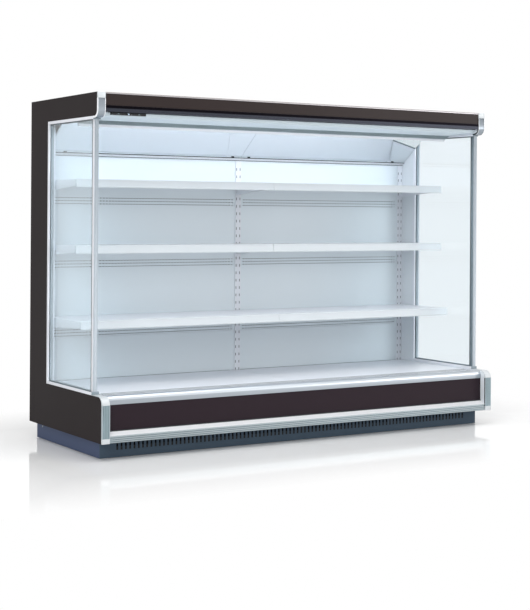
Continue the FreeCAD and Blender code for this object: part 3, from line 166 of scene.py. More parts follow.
bpy.ops.object.select_all(action="DESELECT")
bpy.ops.mesh.primitive_plane_add(size=FLOOR_SIZE, location=(0, 0, 0))
floor = bpy.context.object
floor.name = "floor"
polish, tree, surface = blank("polished_pale_floor", {"Base Color": linear(FLOOR_WHITE),
                                                      "Roughness": FLOOR_ROUGHNESS})
place = add(tree, "SeparateXYZ", {0: add(tree, "TexCoord").outputs["Object"]})
beyond = []
for axis, reach in ((0, cad_high[0]), (1, cad_high[1])):
    away = add(tree, "Math", {0: place.outputs[axis]}, operation="ABSOLUTE")
    beyond.append(add(tree, "Math", {0: away.outputs[0], 1: reach}, operation="SUBTRACT"))
away = add(tree, "Math", {0: beyond[0].outputs[0], 1: beyond[1].outputs[0]}, operation="MAXIMUM")
white = add(tree, "MapRange", {"Value": away.outputs[0], "From Min": FLOOR_FADE[0],
                               "From Max": FLOOR_FADE[1], "To Min": FLOOR_GLOW, "To Max": 1.0})
light = add(tree, "Emission", {"Color": (1, 1, 1, 1), "Strength": 1.0})
floor_mix = add(tree, "MixShader", {0: seen_share(tree, white.outputs[0]),
                                    1: surface.outputs[0], 2: light.outputs[0]})
tree.links.new(floor_mix.outputs[0], tree.nodes["Material Output"].inputs["Surface"])
floor.data.materials.append(polish)

SOFT_BOXES = {  # place, what it points at, width, height and watts
    "overhead": ((-0.5, -2.2, 5.2), (0, 0, 0.8), 6.0, 3.5, 190),
    "front_left": ((-5.5, -5.0, 3.4), (0, -0.2, 1.0), 3.0, 3.0, 130),
    "front_right": ((5.9, -5.7, 2.6), (0, -0.2, 0.9), 3.0, 2.4, 110),
}
for name, (place, target, width, height, watts) in SOFT_BOXES.items():
    lamp = area_lamp(name, place, width, height, watts)
    lamp.rotation_euler = (Vector(target) - Vector(place)).to_track_quat("-Z", "Y").to_euler()


# ---------------------------------------------------------------- base and kick plates
# A welded frame in black lacquer on zinc-plated levelling feet. Powder-coated kick plates clip
# round it, slate blue at the sides and blue-grey in front, where air goes in through slots, with
# a black dust filter behind them whose black paints the shade in the slots.
PEEL_MM = 2.5
PEEL_DEPTH = 0.00006
COAT_PATCH_MM = 400
NUT_HEIGHT = 0.006
NUT_RADIUS = 0.0095
FOOT_STEP = 1.234  # from one foot to the next along a side
SLOT_DROP = 0.007  # the slots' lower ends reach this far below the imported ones
SLOT_FOOT = (0.040, 0.050)  # heights that the slots' lower ends lie between
NET_MM = 3.0
FILTER_LINE = ((842, 34), (846, 36), (846, 86), (842, 88))  # station and height
FILTER_HALF = 1.20
REAR_FACE = 0.4775  # stations are measured forward from here


def coated(name, colour, roughness, shade=0.06, shine=0.5, patchy=0.1):
    """A coated or moulded surface: slight patches in shade and gloss, and a fine orange peel."""
    coat, tree, surface = blank(name, {"Specular IOR Level": shine})
    place = add(tree, "TexCoord").outputs["Object"]
    patch = add(tree, "TexNoise", {"Vector": place, "Scale": 1000 / COAT_PATCH_MM, "Detail": 2.0})
    pale = [min(1, v * (1 + shade)) for v in linear(colour)[:3]] + [1]
    deep = [v * (1 - shade) for v in linear(colour)[:3]] + [1]
    tone = add(tree, "Mix", {0: patch.outputs["Fac"], 6: deep, 7: pale}, data_type="RGBA")
    tree.links.new(tone.outputs[2], surface.inputs["Base Color"])
    gloss = add(tree, "MapRange", {"Value": patch.outputs["Fac"],
                                   "To Min": roughness * (1 - patchy),
                                   "To Max": roughness * (1 + patchy)})
    tree.links.new(gloss.outputs[0], surface.inputs["Roughness"])
    grain = add(tree, "TexNoise", {"Vector": place, "Scale": 1000 / PEEL_MM, "Detail": 1.0})
    bump = add(tree, "Bump", {"Height": grain.outputs["Fac"], "Distance": PEEL_DEPTH,
                              "Strength": 0.6})
    tree.links.new(bump.outputs[0], surface.inputs["Normal"])
    return coat


def paint(material, *names):
    """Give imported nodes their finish."""
    for name in names:
        for slot in nodes[name].material_slots:
            slot.material = material


def sheet_metal(name, low, high, crystal_mm):
    """Zinc-coated sheet: a dull metal with a soft crystal spangle in two greys."""
    metal, tree, surface = blank(name, {"Metallic": 1.0})
    place = add(tree, "TexCoord").outputs["Object"]
    spangle = add(tree, "TexVoronoi", {"Vector": place, "Scale": 1000 / crystal_mm})
    tone = add(tree, "Mix", {0: spangle.outputs["Color"], 6: linear(low), 7: linear(high)},
               data_type="RGBA")
    tree.links.new(tone.outputs[2], surface.inputs["Base Color"])
    gloss = add(tree, "MapRange", {"Value": spangle.outputs["Color"], "To Min": 0.36,
                                   "To Max": 0.56})
    tree.links.new(gloss.outputs[0], surface.inputs["Roughness"])
    return metal


def leave_edit():
    """Go back to object mode, with nothing selected."""
    if bpy.context.mode != "OBJECT":
        bpy.ops.object.mode_set(mode="OBJECT")
    bpy.ops.object.select_all(action="DESELECT")


def choose(*pieces):
    """Select pieces and nothing else, in object mode, the first one active."""
    leave_edit()
    for piece in pieces:
        piece.select_set(True)
    bpy.context.view_layer.objects.active = pieces[0]


def start(primitive, name, **place):
    """A new primitive with nothing else selected, its place and size put in its mesh."""
    size = place.pop("stretch", (1, 1, 1))
    leave_edit()
    primitive(**place)
    piece = bpy.context.object
    piece.name = name
    piece.scale = size
    bpy.ops.object.transform_apply(location=True, rotation=True, scale=True)
    return piece


def start_block(name, low, high):
    """A block between two corners."""
    middle = [(a + b) / 2 for a, b in zip(low, high)]
    return start(bpy.ops.mesh.primitive_cube_add, name, size=1, location=middle,
                 stretch=[b - a for a, b in zip(low, high)])


def pick(piece, kind, test):
    """Edit a piece with only those corners, edges or faces selected whose middle passes."""
    choose(piece)
    bpy.ops.object.mode_set(mode="EDIT")
    bpy.ops.mesh.select_mode(type=kind)
    bpy.ops.mesh.select_all(action="DESELECT")
    bpy.ops.object.mode_set(mode="OBJECT")
    mesh = piece.data
    if kind == "FACE":
        for face in mesh.polygons:
            face.select = bool(test(face.center, face.normal))
    elif kind == "EDGE":
        for edge in mesh.edges:
            ends = [mesh.vertices[i].co for i in edge.vertices]
            edge.select = bool(test((ends[0] + ends[1]) / 2, ends[1] - ends[0]))
    else:
        for corner in mesh.vertices:
            corner.select = bool(test(corner.co))
    bpy.ops.object.mode_set(mode="EDIT")


def extrude(step):
    """Draw what is selected out by a step."""
    bpy.ops.mesh.extrude_region_move(TRANSFORM_OT_translate={"value": step})


def finish_with(piece, kind, **settings):
    """Give a piece a modifier and apply it."""
    choose(piece)
    modifier = piece.modifiers.new(kind.lower(), kind)
    for name, value in settings.items():
        setattr(modifier, name, value)
    bpy.ops.object.modifier_apply(modifier=modifier.name)


def repeat(piece, count, step, merge=False):
    """Copies of a piece in a row, a step apart."""
    finish_with(piece, "ARRAY", count=count, use_relative_offset=False,
                use_constant_offset=True, constant_offset_displace=step,
                use_merge_vertices=merge, merge_threshold=0.00002)


def both_sides(piece):
    """The piece and its mirror image at the right end."""
    finish_with(piece, "MIRROR", use_axis=(True, False, False), use_mirror_merge=False)


def smooth(piece, degrees):
    """Shade a piece smooth over edges up to an angle."""
    choose(piece)
    bpy.ops.object.shade_smooth_by_angle(angle=math.radians(degrees))


def ease(piece, width, angle=30, steps=2):
    """Round the sharp edges of a piece."""
    finish_with(piece, "BEVEL", width=width, segments=steps, limit_method="ANGLE",
                angle_limit=math.radians(angle))
    smooth(piece, 35)


def join(*pieces):
    """Several meshes made one piece, under the first one's name."""
    choose(*pieces)
    bpy.ops.object.join()
    return pieces[0]


def take(name, node):
    """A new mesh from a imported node, its loose triangles merged and its flat faces joined."""
    piece = bpy.data.objects.new(name, nodes[node].data.copy())
    bpy.context.scene.collection.objects.link(piece)
    pick(piece, "VERT", lambda at: True)
    bpy.ops.mesh.remove_doubles(threshold=0.00002)
    bpy.ops.mesh.dissolve_limited(angle_limit=math.radians(1))
    leave_edit()
    return piece


def move(piece, step):
    """Move a piece by a step, within its mesh."""
    pick(piece, "VERT", lambda at: True)
    bpy.ops.transform.translate(value=step)
    leave_edit()


def folded(name, points, span, thickness):
    """A sheet folded along a line of points, as wide as the span, thick behind its face."""
    points = [Vector(point) for point in points]
    span = Vector(span)
    run = points[1] - points[0]
    sheet = start(bpy.ops.mesh.primitive_plane_add, name, size=1)
    turned = Matrix((span, run, span.cross(run).normalized())).transposed().to_4x4()
    sheet.matrix_world = Matrix.Translation(points[0] + (run + span) / 2) @ turned
    bpy.ops.object.transform_apply(location=True, rotation=True, scale=True)
    pick(sheet, "VERT", lambda at: min((at - points[1]).length,
                                       (at - points[1] - span).length) < 0.00005)
    for here, there in zip(points[1:], points[2:]):
        extrude(there - here)
    leave_edit()
    if thickness:
        finish_with(sheet, "SOLIDIFY", thickness=thickness, offset=-1, use_even_offset=True)
    return sheet


def at_station(station, height, x=0.0):
    """A point from millimetres in front of the rear face and above the floor."""
    return Vector((x, REAR_FACE - station / 1000, height / 1000))


def turn_up(piece, face_z):
    """Turn a flat sheet over if it looks down."""
    if piece.data.polygons[0].normal.z * face_z < 0:
        pick(piece, "FACE", lambda at, normal: True)
        bpy.ops.mesh.flip_normals()
        leave_edit()


def place_piece(piece, materials, body="case", instead_of=()):
    """Give a finished piece its materials, the body it rides on and the nodes it replaces."""
    leave_edit()
    finishes = [min(face.material_index, len(materials) - 1) for face in piece.data.polygons]
    piece.data.materials.clear()
    for material in materials:
        piece.data.materials.append(material)
    piece.data.polygons.foreach_set("material_index", finishes)
    if body:
        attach(piece, body)
    if instead_of:
        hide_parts(*instead_of)


# Baked coats: a dull black on the frame, and two muted blues with hardly any shine.
black_coat = coated("lacquer_black", "#141517", 0.45, shine=0.3)
paint(black_coat, "base_frame")
kick_coat = coated("powder_coat_blue_grey", "#455564", 0.55, shine=0.2)
side_coat = coated("powder_coat_slate_blue", "#485573", 0.55, shine=0.2)
paint(side_coat, "kick_plate_sides")
# Bright plating with a fine grey mottle.
zinc_plate = sheet_metal("zinc_plated_steel", "#9aa1a4", "#bcc2c5", 6)
paint(zinc_plate, "levelling_feet")

front_kick = take("kick_front_sheet", "kick_plate_front")
pick(front_kick, "VERT", lambda at: SLOT_FOOT[0] < at.z < SLOT_FOOT[1])
bpy.ops.transform.translate(value=(0, 0, -SLOT_DROP))
leave_edit()
place_piece(front_kick, [kick_coat], instead_of=["kick_plate_front"])
# A near-black net, painted shade seen through the slots, with its threads just showing.
net, tree, surface = blank("filter_net_black", {"Roughness": 0.8, "Specular IOR Level": 0.1})
threads = add(tree, "TexVoronoi", {"Vector": add(tree, "TexCoord").outputs["Object"],
                                   "Scale": 1000 / NET_MM})
tone = add(tree, "Mix", {0: threads.outputs["Distance"], 6: linear("#0b0c0e"),
                         7: linear("#1b1d20")}, data_type="RGBA")
tree.links.new(tone.outputs[2], surface.inputs["Base Color"])
dust_filter = folded("dust_filter", [at_station(*point, -FILTER_HALF) for point in FILTER_LINE],
                     (2 * FILTER_HALF, 0, 0), 0.0008)
place_piece(dust_filter, [net])

foot_low, foot_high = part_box("levelling_feet")
frame_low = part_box("base_frame")[0]
pad_radius = (foot_high[0] - foot_low[0] - 2 * FOOT_STEP) / 2
foot_rows = (foot_low[1] + pad_radius, foot_high[1] - pad_radius)
nut = start(bpy.ops.mesh.primitive_cylinder_add, "foot_nuts", vertices=6, radius=NUT_RADIUS,
            depth=NUT_HEIGHT, location=(-FOOT_STEP, foot_rows[0], frame_low[2] - NUT_HEIGHT / 2))
repeat(nut, 3, (FOOT_STEP, 0, 0))
repeat(nut, 2, (0, foot_rows[1] - foot_rows[0], 0))
ease(nut, 0.0008)
place_piece(nut, [zinc_plate])

SCREW_RADIUS = 0.005
side_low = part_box("kick_plate_sides")[0]
screw_low, screw_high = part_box("screws")
screw_y = screw_high[1] - SCREW_RADIUS
screw_z = (screw_low[2] + screw_high[2]) / 2
screw = start(bpy.ops.mesh.primitive_cylinder_add, "kick_screws", vertices=24,
              radius=SCREW_RADIUS, depth=0.002, location=(side_low[0] - 0.001, screw_y, screw_z),
              rotation=(0, math.radians(-90), 0))
pick(screw, "FACE", lambda at, normal: normal.x < -0.9)
bpy.ops.mesh.inset(thickness=0.0014, depth=0.0)
bpy.ops.mesh.inset(thickness=0.0016, depth=-0.0006)
ease(screw, 0.0005)
both_sides(screw)
place_piece(screw, [zinc_plate], instead_of=["screws"])


# ---------------------------------------------------------------- machine bay
# Black lacquered vessels and motors, drawn copper pipes, zinc-coated sheet parts, and coils of
# thin aluminium fins on copper tubes whose return bends show at the coil's end.
LINE_MM = 1.2
FIN_MM = 4.0  # drawn coarser than real fins, which stand about 2 mm apart
BEND_RADIUS = 0.015
BEND_TUBE = 0.0045
BEND_ROWS = 6
BEND_INSET = 0.03
BEND_STEP = 0.034
BEND_LIFT = 0.042


def anodised(name, colour, along, roughness=0.34, painted_shade=None):
    """Drawn metal with fine lines along X or Z, drawn coarser than they are, and painted shade
    in a band such as a groove: painted_shade gives its axis, place, half width and colour."""
    metal, tree, surface = blank(name, {"Metallic": 1.0, "Base Color": linear(colour)})
    fine = 1000 / LINE_MM
    stretch = (1.5, fine, fine) if along == "X" else (fine, fine, 1.5)
    place = add(tree, "Mapping", {"Vector": add(tree, "TexCoord").outputs["Object"],
                                  "Scale": stretch})
    lines = add(tree, "TexNoise", {"Vector": place.outputs[0], "Scale": 1.0, "Detail": 2.0})
    gloss = add(tree, "MapRange", {"Value": lines.outputs["Fac"],
                                   "To Min": roughness - 0.08, "To Max": roughness + 0.08})
    tree.links.new(gloss.outputs[0], surface.inputs["Roughness"])
    bump = add(tree, "Bump", {"Height": lines.outputs["Fac"], "Distance": 0.00005,
                              "Strength": 0.5})
    tree.links.new(bump.outputs[0], surface.inputs["Normal"])
    if painted_shade:
        # Painted shade: the shade colour within the band along the axis.
        axis, depth, reach, shade = painted_shade
        across = add(tree, "SeparateXYZ", {0: add(tree, "TexCoord").outputs["Object"]})
        inside = add(tree, "Math", {0: across.outputs[axis], 1: depth, 2: reach},
                     operation="COMPARE")
        tone = add(tree, "Mix", {0: inside.outputs[0], 6: linear(colour), 7: linear(shade)},
                   data_type="RGBA")
        tree.links.new(tone.outputs[2], surface.inputs["Base Color"])
    return metal


paint(black_coat, "compressor", "liquid_receiver", "evaporator_fan_motors",
      "condenser_fan_motors")
# Dull grey zinc with large soft crystals.
zinc = sheet_metal("galvanised_sheet", "#8f979b", "#b4bcc0", 14)
paint(zinc, "evaporator_fan_plate", "condenser_shroud", "evaporation_tray", "electrical_box")
# Warm drawn copper with faint lines along the pipe.
copper = anodised("drawn_copper", "#b8734f", "X", 0.28)
paint(copper, "refrigerant_pipes")
# Moulded nylon, a soft black.
nylon_black = coated("nylon_moulded_black", "#17181b", 0.5)
paint(nylon_black, "evaporator_fan_1", "evaporator_fan_2", "evaporator_fan_3",
      "condenser_fan_1", "condenser_fan_2")

# The edges of many thin bright fins, with painted shade in the gaps between them.
fins, tree, surface = blank("aluminium_fin_pack", {"Metallic": 1.0, "Roughness": 0.4})
across = add(tree, "SeparateXYZ", {0: add(tree, "TexCoord").outputs["Object"]}).outputs[0]
fin = add(tree, "Math", {0: across, 1: 1000 / FIN_MM}, operation="MULTIPLY")
fin = add(tree, "Math", {0: fin.outputs[0]}, operation="FRACT")
edge = add(tree, "Math", {0: fin.outputs[0], 1: 0.35}, operation="LESS_THAN")
tone = add(tree, "Mix", {0: edge.outputs[0], 6: linear("#2c3032"), 7: linear("#b3bbbf")},
           data_type="RGBA")
tree.links.new(tone.outputs[2], surface.inputs["Base Color"])
bump = add(tree, "Bump", {"Height": edge.outputs[0], "Distance": 0.001, "Strength": 1.0})
tree.links.new(bump.outputs[0], surface.inputs["Normal"])
paint(fins, "evaporator_coil", "condenser_coil")

coil_low, coil_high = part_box("evaporator_coil")
bend = start(bpy.ops.mesh.primitive_torus_add, "coil_return_bends", major_radius=BEND_RADIUS,
             minor_radius=BEND_TUBE, major_segments=12, minor_segments=8,
             rotation=(math.radians(90), 0, 0))
bpy.ops.object.mode_set(mode="EDIT")
bpy.ops.mesh.select_all(action="SELECT")
bpy.ops.mesh.bisect(plane_co=(0, 0, 0), plane_no=(1, 0, 0), clear_outer=False, clear_inner=True,
                    use_fill=True)
bpy.ops.mesh.select_all(action="SELECT")
bpy.ops.transform.translate(value=(coil_high[0], coil_low[1] + BEND_INSET,
                                  coil_low[2] + BEND_INSET))
leave_edit()
repeat(bend, BEND_ROWS, (0, BEND_STEP, 0))
repeat(bend, 2, (0, 0, BEND_LIFT))
smooth(bend, 40)
place_piece(bend, [copper])


# ---------------------------------------------------------------- insulated body
# Foamed tank, rear wall and roof: grey-white coil-coated steel outside, and galvanised sheet in
# the tank and on the roof, where it is pop-riveted along standing seams.
RIVET_RADIUS = 0.004
RIVET_PITCH = 0.12
RIVETS = 7
RIVET_APART = 0.026
SEAM_LEFT = -0.637
SEAM_WIDTH = 0.040
SEAM_STEP = 0.617
SEAM_HEIGHT = 0.007
LOUVRE_PITCH = 0.060
LOUVRE_RISE = 0.022
LOUVRE_WIDTH = 0.048
LOUVRE_DEPTH = 0.006

# Smooth factory-painted sheet, near white inside and a little greyer outside.
liner_white = coated("coil_coat_white", "#e2e8ed", 0.36, shade=0.012, patchy=0.03)
paint(liner_white, "end_liners")
wall_white = coated("coil_coat_outer_wall", "#ccd4d8", 0.4, shade=0.02, patchy=0.05)
paint(wall_white, "rear_wall")
paint(zinc, "canopy_roof", "rear_service_grille", "tank_shell")
# Moulded polypropylene, a mid grey without much shine.
grey_plastic = coated("pp_moulded_grey", "#7f9096", 0.5)
paint(grey_plastic, "drain_outlet")

roof_low, roof_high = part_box("canopy_roof")
seam = start_block("roof_seams", (SEAM_LEFT, roof_low[1] + 0.02, roof_high[2]),
                   (SEAM_LEFT + SEAM_WIDTH, roof_high[1] - 0.01, roof_high[2] + 0.0012))
pick(seam, "FACE", lambda at, normal: normal.z > 0.9)
bpy.ops.mesh.inset(thickness=0.015)
extrude((0, 0, SEAM_HEIGHT))
repeat(seam, 3, (SEAM_STEP, 0, 0))
ease(seam, 0.0006)
rivet = start(bpy.ops.mesh.primitive_cylinder_add, "rivets", vertices=12, radius=RIVET_RADIUS,
              depth=0.002, location=(SEAM_LEFT + 0.007, roof_low[1] + 0.05, roof_high[2] + 0.002))
pick(rivet, "FACE", lambda at, normal: normal.z > 0.9)
bpy.ops.mesh.inset(thickness=0.0016, depth=0.0008)
repeat(rivet, RIVETS, (0, RIVET_PITCH, 0))
repeat(rivet, 2, (RIVET_APART, 0, 0))
repeat(rivet, 3, (SEAM_STEP, 0, 0))
place_piece(join(seam, rivet), [zinc])

grille_low, grille_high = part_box("rear_service_grille")
louvre_rows = (grille_low[2] + grille_high[2]) / 2 - LOUVRE_RISE
hood = start_block("rear_louvre_hoods",
                   (-LOUVRE_WIDTH / 2, grille_high[1], louvre_rows - 0.003),
                   (LOUVRE_WIDTH / 2, grille_high[1] + LOUVRE_DEPTH, louvre_rows + 0.006))
pick(hood, "FACE", lambda at, normal: normal.z < -0.9)
bpy.ops.mesh.delete(type="FACE")
pick(hood, "FACE", lambda at, normal: normal.y < -0.9)
bpy.ops.mesh.delete(type="FACE")
pick(hood, "EDGE", lambda at, run: at.z > louvre_rows + 0.005 and at.y > grille_high[1] + 0.005)
bpy.ops.transform.translate(value=(0, -LOUVRE_DEPTH * 0.8, 0))
finish_with(hood, "SOLIDIFY", thickness=0.001, offset=-1)
louvres = int((grille_high[0] - grille_low[0] - 2 * LOUVRE_PITCH) / LOUVRE_PITCH)
move(hood, (-(louvres - 1) / 2 * LOUVRE_PITCH, 0, 0))
repeat(hood, louvres, (LOUVRE_PITCH, 0, 0))
repeat(hood, 3, (0, 0, LOUVRE_RISE))
place_piece(hood, [zinc])


# ---------------------------------------------------------------- end panels and side glass
# Foamed ends in dark brown satin powder coat. White lacquered frames hold double panes of clear
# glass, and a square white post with a shallow recess in its front closes them in front; its
# front faces are grey and its inner sides darker, both painted shade.
SPACER_X = (1.270, 1.2865)
FRONT_SHADE_DEPTH = 0.002

# A dark satin brown that hardly shines and a clean white lacquer, and two greys that paint shade
# on the posts: a lighter one on their fronts and a darker matt one on their inner sides.
brown_coat = coated("powder_coat_brown", "#241e1f", 0.55, shine=0.08)
paint(brown_coat, "end_panel_left", "end_panel_right")
frame_white = coated("lacquered_aluminium_white", "#e6e9f0", 0.35, shade=0.01, patchy=0.03)
spacer_grey = coated("spacer_bar_grey", "#8d9aa2", 0.5)
post_front_shade = coated("post_front_painted_shade", "#b3bdc6", 0.5, shade=0.02, shine=0.3)
post_inner_shade = coated("post_inner_painted_shade", "#76838a", 0.6, shine=0.3)

frames = take("window_frame_pieces", "window_frames")
ease(frames, 0.0008)
for face in frames.data.polygons:
    face.material_index = int(SPACER_X[0] < abs(face.center.x) < SPACER_X[1])
place_piece(frames, [frame_white, spacer_grey], instead_of=["window_frames"])

posts = take("glass_posts", "front_posts")
ease(posts, 0.001)
post_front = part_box("front_posts")[0][1]
pick(posts, "FACE", lambda at, normal: normal.y < -0.99 and at.y < post_front + 0.0002)
bpy.ops.mesh.inset(thickness=0.0005)
extrude((0, 0.0006, 0))
leave_edit()
# Painted shade: the post's front faces take the lighter grey, and the faces turned inward the
# darker one.
for face in posts.data.polygons:
    if face.center.y < post_front + FRONT_SHADE_DEPTH:
        face.material_index = 1
    elif face.normal.x * face.center.x < -0.9:
        face.material_index = 2
place_piece(posts, [frame_white, post_front_shade, post_inner_shade],
            instead_of=["front_posts"])

# Clear panes with a very slight blue and weak mirroring, which let the daylight through.
glass, tree, surface = blank("tempered_glass_clear", {
    "Base Color": linear("#f7fbfd"), "Roughness": 0.0, "IOR": 1.3, "Transmission Weight": 1.0})
clear = add(tree, "BsdfTransparent", {"Color": linear("#f6fafc")})
shadow = add(tree, "LightPath").outputs["Is Shadow Ray"]
pass_on = add(tree, "MixShader", {0: shadow, 1: surface.outputs[0], 2: clear.outputs[0]})
tree.links.new(pass_on.outputs[0], tree.nodes["Material Output"].inputs["Surface"])
paint(glass, "side_glass")


# ---------------------------------------------------------------- front edges of the ends
# Brushed aluminium channels round the fronts of both arms, each sunk between two rims that are
# white on the canopy. White moulded caps close them at the top and at the foot.
RIM = 0.003
CHANNEL_DEPTH = 0.0012
END_THICK = 0.045
CANOPY_DEPTH = 0.879
BEND_OUTER = 0.040
BEND_INNER = 0.036
BEND_Z = 1.807
HEAD_Z = 1.0  # the channels above this are the canopy's
canopy_front = REAR_FACE - CANOPY_DEPTH
base_front = cad_low[1]
end_outer = cad_high[0]
end_inner = end_outer - END_THICK
CANOPY_FOOT = (1.760, 1.802)


def cut_rims(piece):
    """Cut a piece along the inner edges of its rims."""
    for x in (-end_outer + RIM, -end_inner - RIM, end_inner + RIM, end_outer - RIM):
        pick(piece, "FACE", lambda at, normal: True)
        bpy.ops.mesh.bisect(plane_co=(x, 0, 0), plane_no=(1, 0, 0))
    leave_edit()


def between_rims(at):
    """Whether a place lies between the rims of an end's front edge."""
    return end_inner + RIM < abs(at.x) < end_outer - RIM


channels = take("edge_channels", "end_trims")
corner = take("canopy_corner", "corner_caps")
pick(corner, "VERT", lambda at: not CANOPY_FOOT[0] < at.z < CANOPY_FOOT[1] + 0.001)
bpy.ops.mesh.delete(type="VERT")
leave_edit()
channels = join(channels, corner)
pick(channels, "VERT", lambda at: True)
bpy.ops.mesh.remove_doubles(threshold=0.00002)
pick(channels, "FACE", lambda at, normal: abs(at.z - CANOPY_FOOT[1]) < 0.0005
     and abs(normal.z) > 0.9)
bpy.ops.mesh.delete(type="ONLY_FACE")
leave_edit()
cut_rims(channels)
bend_at = Vector((0, canopy_front + BEND_OUTER, BEND_Z))


def on_channel(at, normal):
    """Whether a face is the outer face of the canopy's channel, between its rims."""
    if at.z < HEAD_Z or not between_rims(at) or abs(normal.x) > 0.5:
        return False
    if at.z > bend_at.z:
        return normal.y < -0.9
    if at.y > bend_at.y:
        return normal.z < -0.9
    return (Vector((0, at.y, at.z)) - bend_at).length > BEND_INNER


pick(channels, "FACE", on_channel)
bpy.ops.mesh.extrude_region_shrink_fatten(TRANSFORM_OT_shrink_fatten={"value": -CHANNEL_DEPTH})
leave_edit()
# Faces turned inward take the dark colour, painted shade; the rest take their metal or white.
for face in channels.data.polygons:
    if face.normal.x * face.center.x < -0.9:
        face.material_index = 3
    elif face.center.z > HEAD_Z:
        face.material_index = 2 if between_rims(face.center) else 1
    elif not between_rims(face.center):
        face.material_index = 4
smooth(channels, 25)

# Fine-lined satin metal, a shade bluer at the foot, with painted shade in its grooves there,
# crisp white rims above, and painted shade along the inner sides.
edge_metal = anodised("brushed_aluminium_edge", "#94a5ab", "Z", 0.4,
                      painted_shade=(1, base_front + 0.0016, 0.0004, "#71838a"))
rim_white = coated("lacquered_rim_white", "#eef0f4", 0.3, shade=0.01, patchy=0.03)
head_metal = anodised("brushed_aluminium_head", "#9ea6ae", "Z", 0.4)
side_metal = anodised("brushed_aluminium_side", "#a9b3b9", "Z", 0.4)
leg_shade = coated("channel_inner_painted_shade", "#2c363b", 0.6, shine=0.2)
place_piece(channels, [edge_metal, rim_white, head_metal, leg_shade, side_metal],
            instead_of=["end_trims"])

caps = take("edge_caps", "corner_caps")
pick(caps, "VERT", lambda at: CANOPY_FOOT[0] < at.z < CANOPY_FOOT[1] + 0.001)
bpy.ops.mesh.delete(type="VERT")
ease(caps, 0.0014)
# The slanting bevel faces take the darker brushed metal: painted shade along the caps' rounded
# edges.
for face in caps.data.polygons:
    face.material_index = int(0.1 < abs(face.normal.x) < 0.9)
# Moulded ABS, white with a soft gloss.
moulded_white = coated("abs_moulded_white", "#cdd2d5", 0.28, shade=0.01, patchy=0.03)
place_piece(caps, [moulded_white, edge_metal], instead_of=["corner_caps"])


# ---------------------------------------------------------------- lower front
# An aluminium top rail with a sloping nose, a plum powder-coated panel below it, and a grooved
# bumper at the foot with painted shade in its grooves, a white strip on its sloping top that
# paints a highlight, and a black strip behind that paints the shade of the gap.
inner = 1.255
NOSE_FOOT = 0.309
RAIL_LINE = ((912, 285), (912, 308), (909.5, 317), (905, 324), (899, 329), (892, 331),
             (886, 331), (886, 300))  # station and height, as in the next two
HIGHLIGHT_LINE = ((949.6, 131.2), (945, 133.8), (919, 148.4), (918.6, 147.4))
GAP_SHADE_LINE = ((918.2, 147.2), (917.8, 149.0), (913, 151.8), (909.4, 153.0))


def front_section(name, line, thickness):
    """A section that runs between the ends along a line of stations and heights."""
    return folded(name, [at_station(*point, -inner) for point in line], (2 * inner, 0, 0),
                  thickness)


# Satin metal with lines along its length, and a paler copy on the nose, a painted highlight where
# it slopes up to the light.
rail_metal = anodised("anodised_aluminium_rail", "#a4abb2", "X", 0.38)
nose_highlight_metal = anodised("aluminium_nose_painted_highlight", "#bfc5cb", "X", 0.38)
rail = front_section("top_rail_section", RAIL_LINE, 0.003)
# Faces above the nose's foot take the paler copy: painted highlight.
for face in rail.data.polygons:
    face.material_index = int(face.center.z > NOSE_FOOT)
smooth(rail, 28)
place_piece(rail, [rail_metal, nose_highlight_metal], instead_of=["top_rail"])

# Painted shade in the bumper's grooves.
bumper_metal = anodised("anodised_aluminium_bumper", "#a3adb1", "X", 0.4,
                        painted_shade=(1, -0.4710, 0.0006, "#66747a"))
paint(bumper_metal, "bumper_rail")
# A very dark plum with a dull shine.
plum_coat = coated("powder_coat_plum", "#23171f", 0.45, shine=0.18)
paint(plum_coat, "front_panel")

# Extruded PVC: a plain white, and a flexible black that is nearly matt.
strip_white = coated("pvc_extruded_white", "#dadcdf", 0.4, shade=0.01, patchy=0.03)
lip_black = coated("pvc_lip_black", "#2b3033", 0.5, shine=0.3)
# On the bumper the white strip is a painted highlight on its sloping top.
strip = front_section("bumper_highlight_strip", HIGHLIGHT_LINE, 0.0009)
place_piece(strip, [strip_white])
# A black strip behind it: painted shade in the gap between panel and bumper.
gap_shade = front_section("bumper_gap_shade", GAP_SHADE_LINE, 0.0008)
place_piece(gap_shade, [lip_black])


# ---------------------------------------------------------------- deck and return grilles
# Lacquered steel deck trays on folded legs, and in front of them grilles of punched sheet, which
# the air goes back through: three rows of oblong holes with painted shade on their cut edges,
# over a black debris screen whose black paints the shade under the holes.
HOLE_PITCH = 0.0156
ROW_PITCH = 0.044
HOLE_RADIUS = 0.0042
HOLE_LENGTH = 0.034
HOLE_SQUARING = (1.3, 1.25, 1)  # makes the holes' ends blunt
HOLES = 80
HOLE_ROWS = 3
FRONT_FLANGE = 0.010
REAR_FLANGE = 0.025
LEG_WIDTH = 0.025
SCREEN_LEFT = -1.250
SCREEN_LINE = ((-0.4040, 0.3215), (-0.4020, 0.3238),
               (-0.2700, 0.3238), (-0.2680, 0.3215))  # depth and height


def grow(piece, axis, place, *steps):
    """Extend a sheet from its edges at a place along an axis."""
    pick(piece, "EDGE", lambda at, run: abs(at[axis] - place) < 0.0001
         and abs(run[axis]) < 0.0001)
    for step in steps:
        extrude(step)
    leave_edit()


# Smooth white lacquer with a slight sheen.
lip_white = coated("lacquered_steel_white", "#e6eaf0", 0.34, shade=0.012, patchy=0.03)
paint(lip_white, "deck_trays")
punch_low, punch_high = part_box("return_grilles")
deck = punch_high[2]
side_margin = (-0.001 - punch_low[0] - HOLES * HOLE_PITCH) / 2
row_margin = (punch_high[1] - punch_low[1] - HOLE_ROWS * ROW_PITCH) / 2
first_x = punch_low[0] + side_margin
first_y = punch_low[1] + row_margin

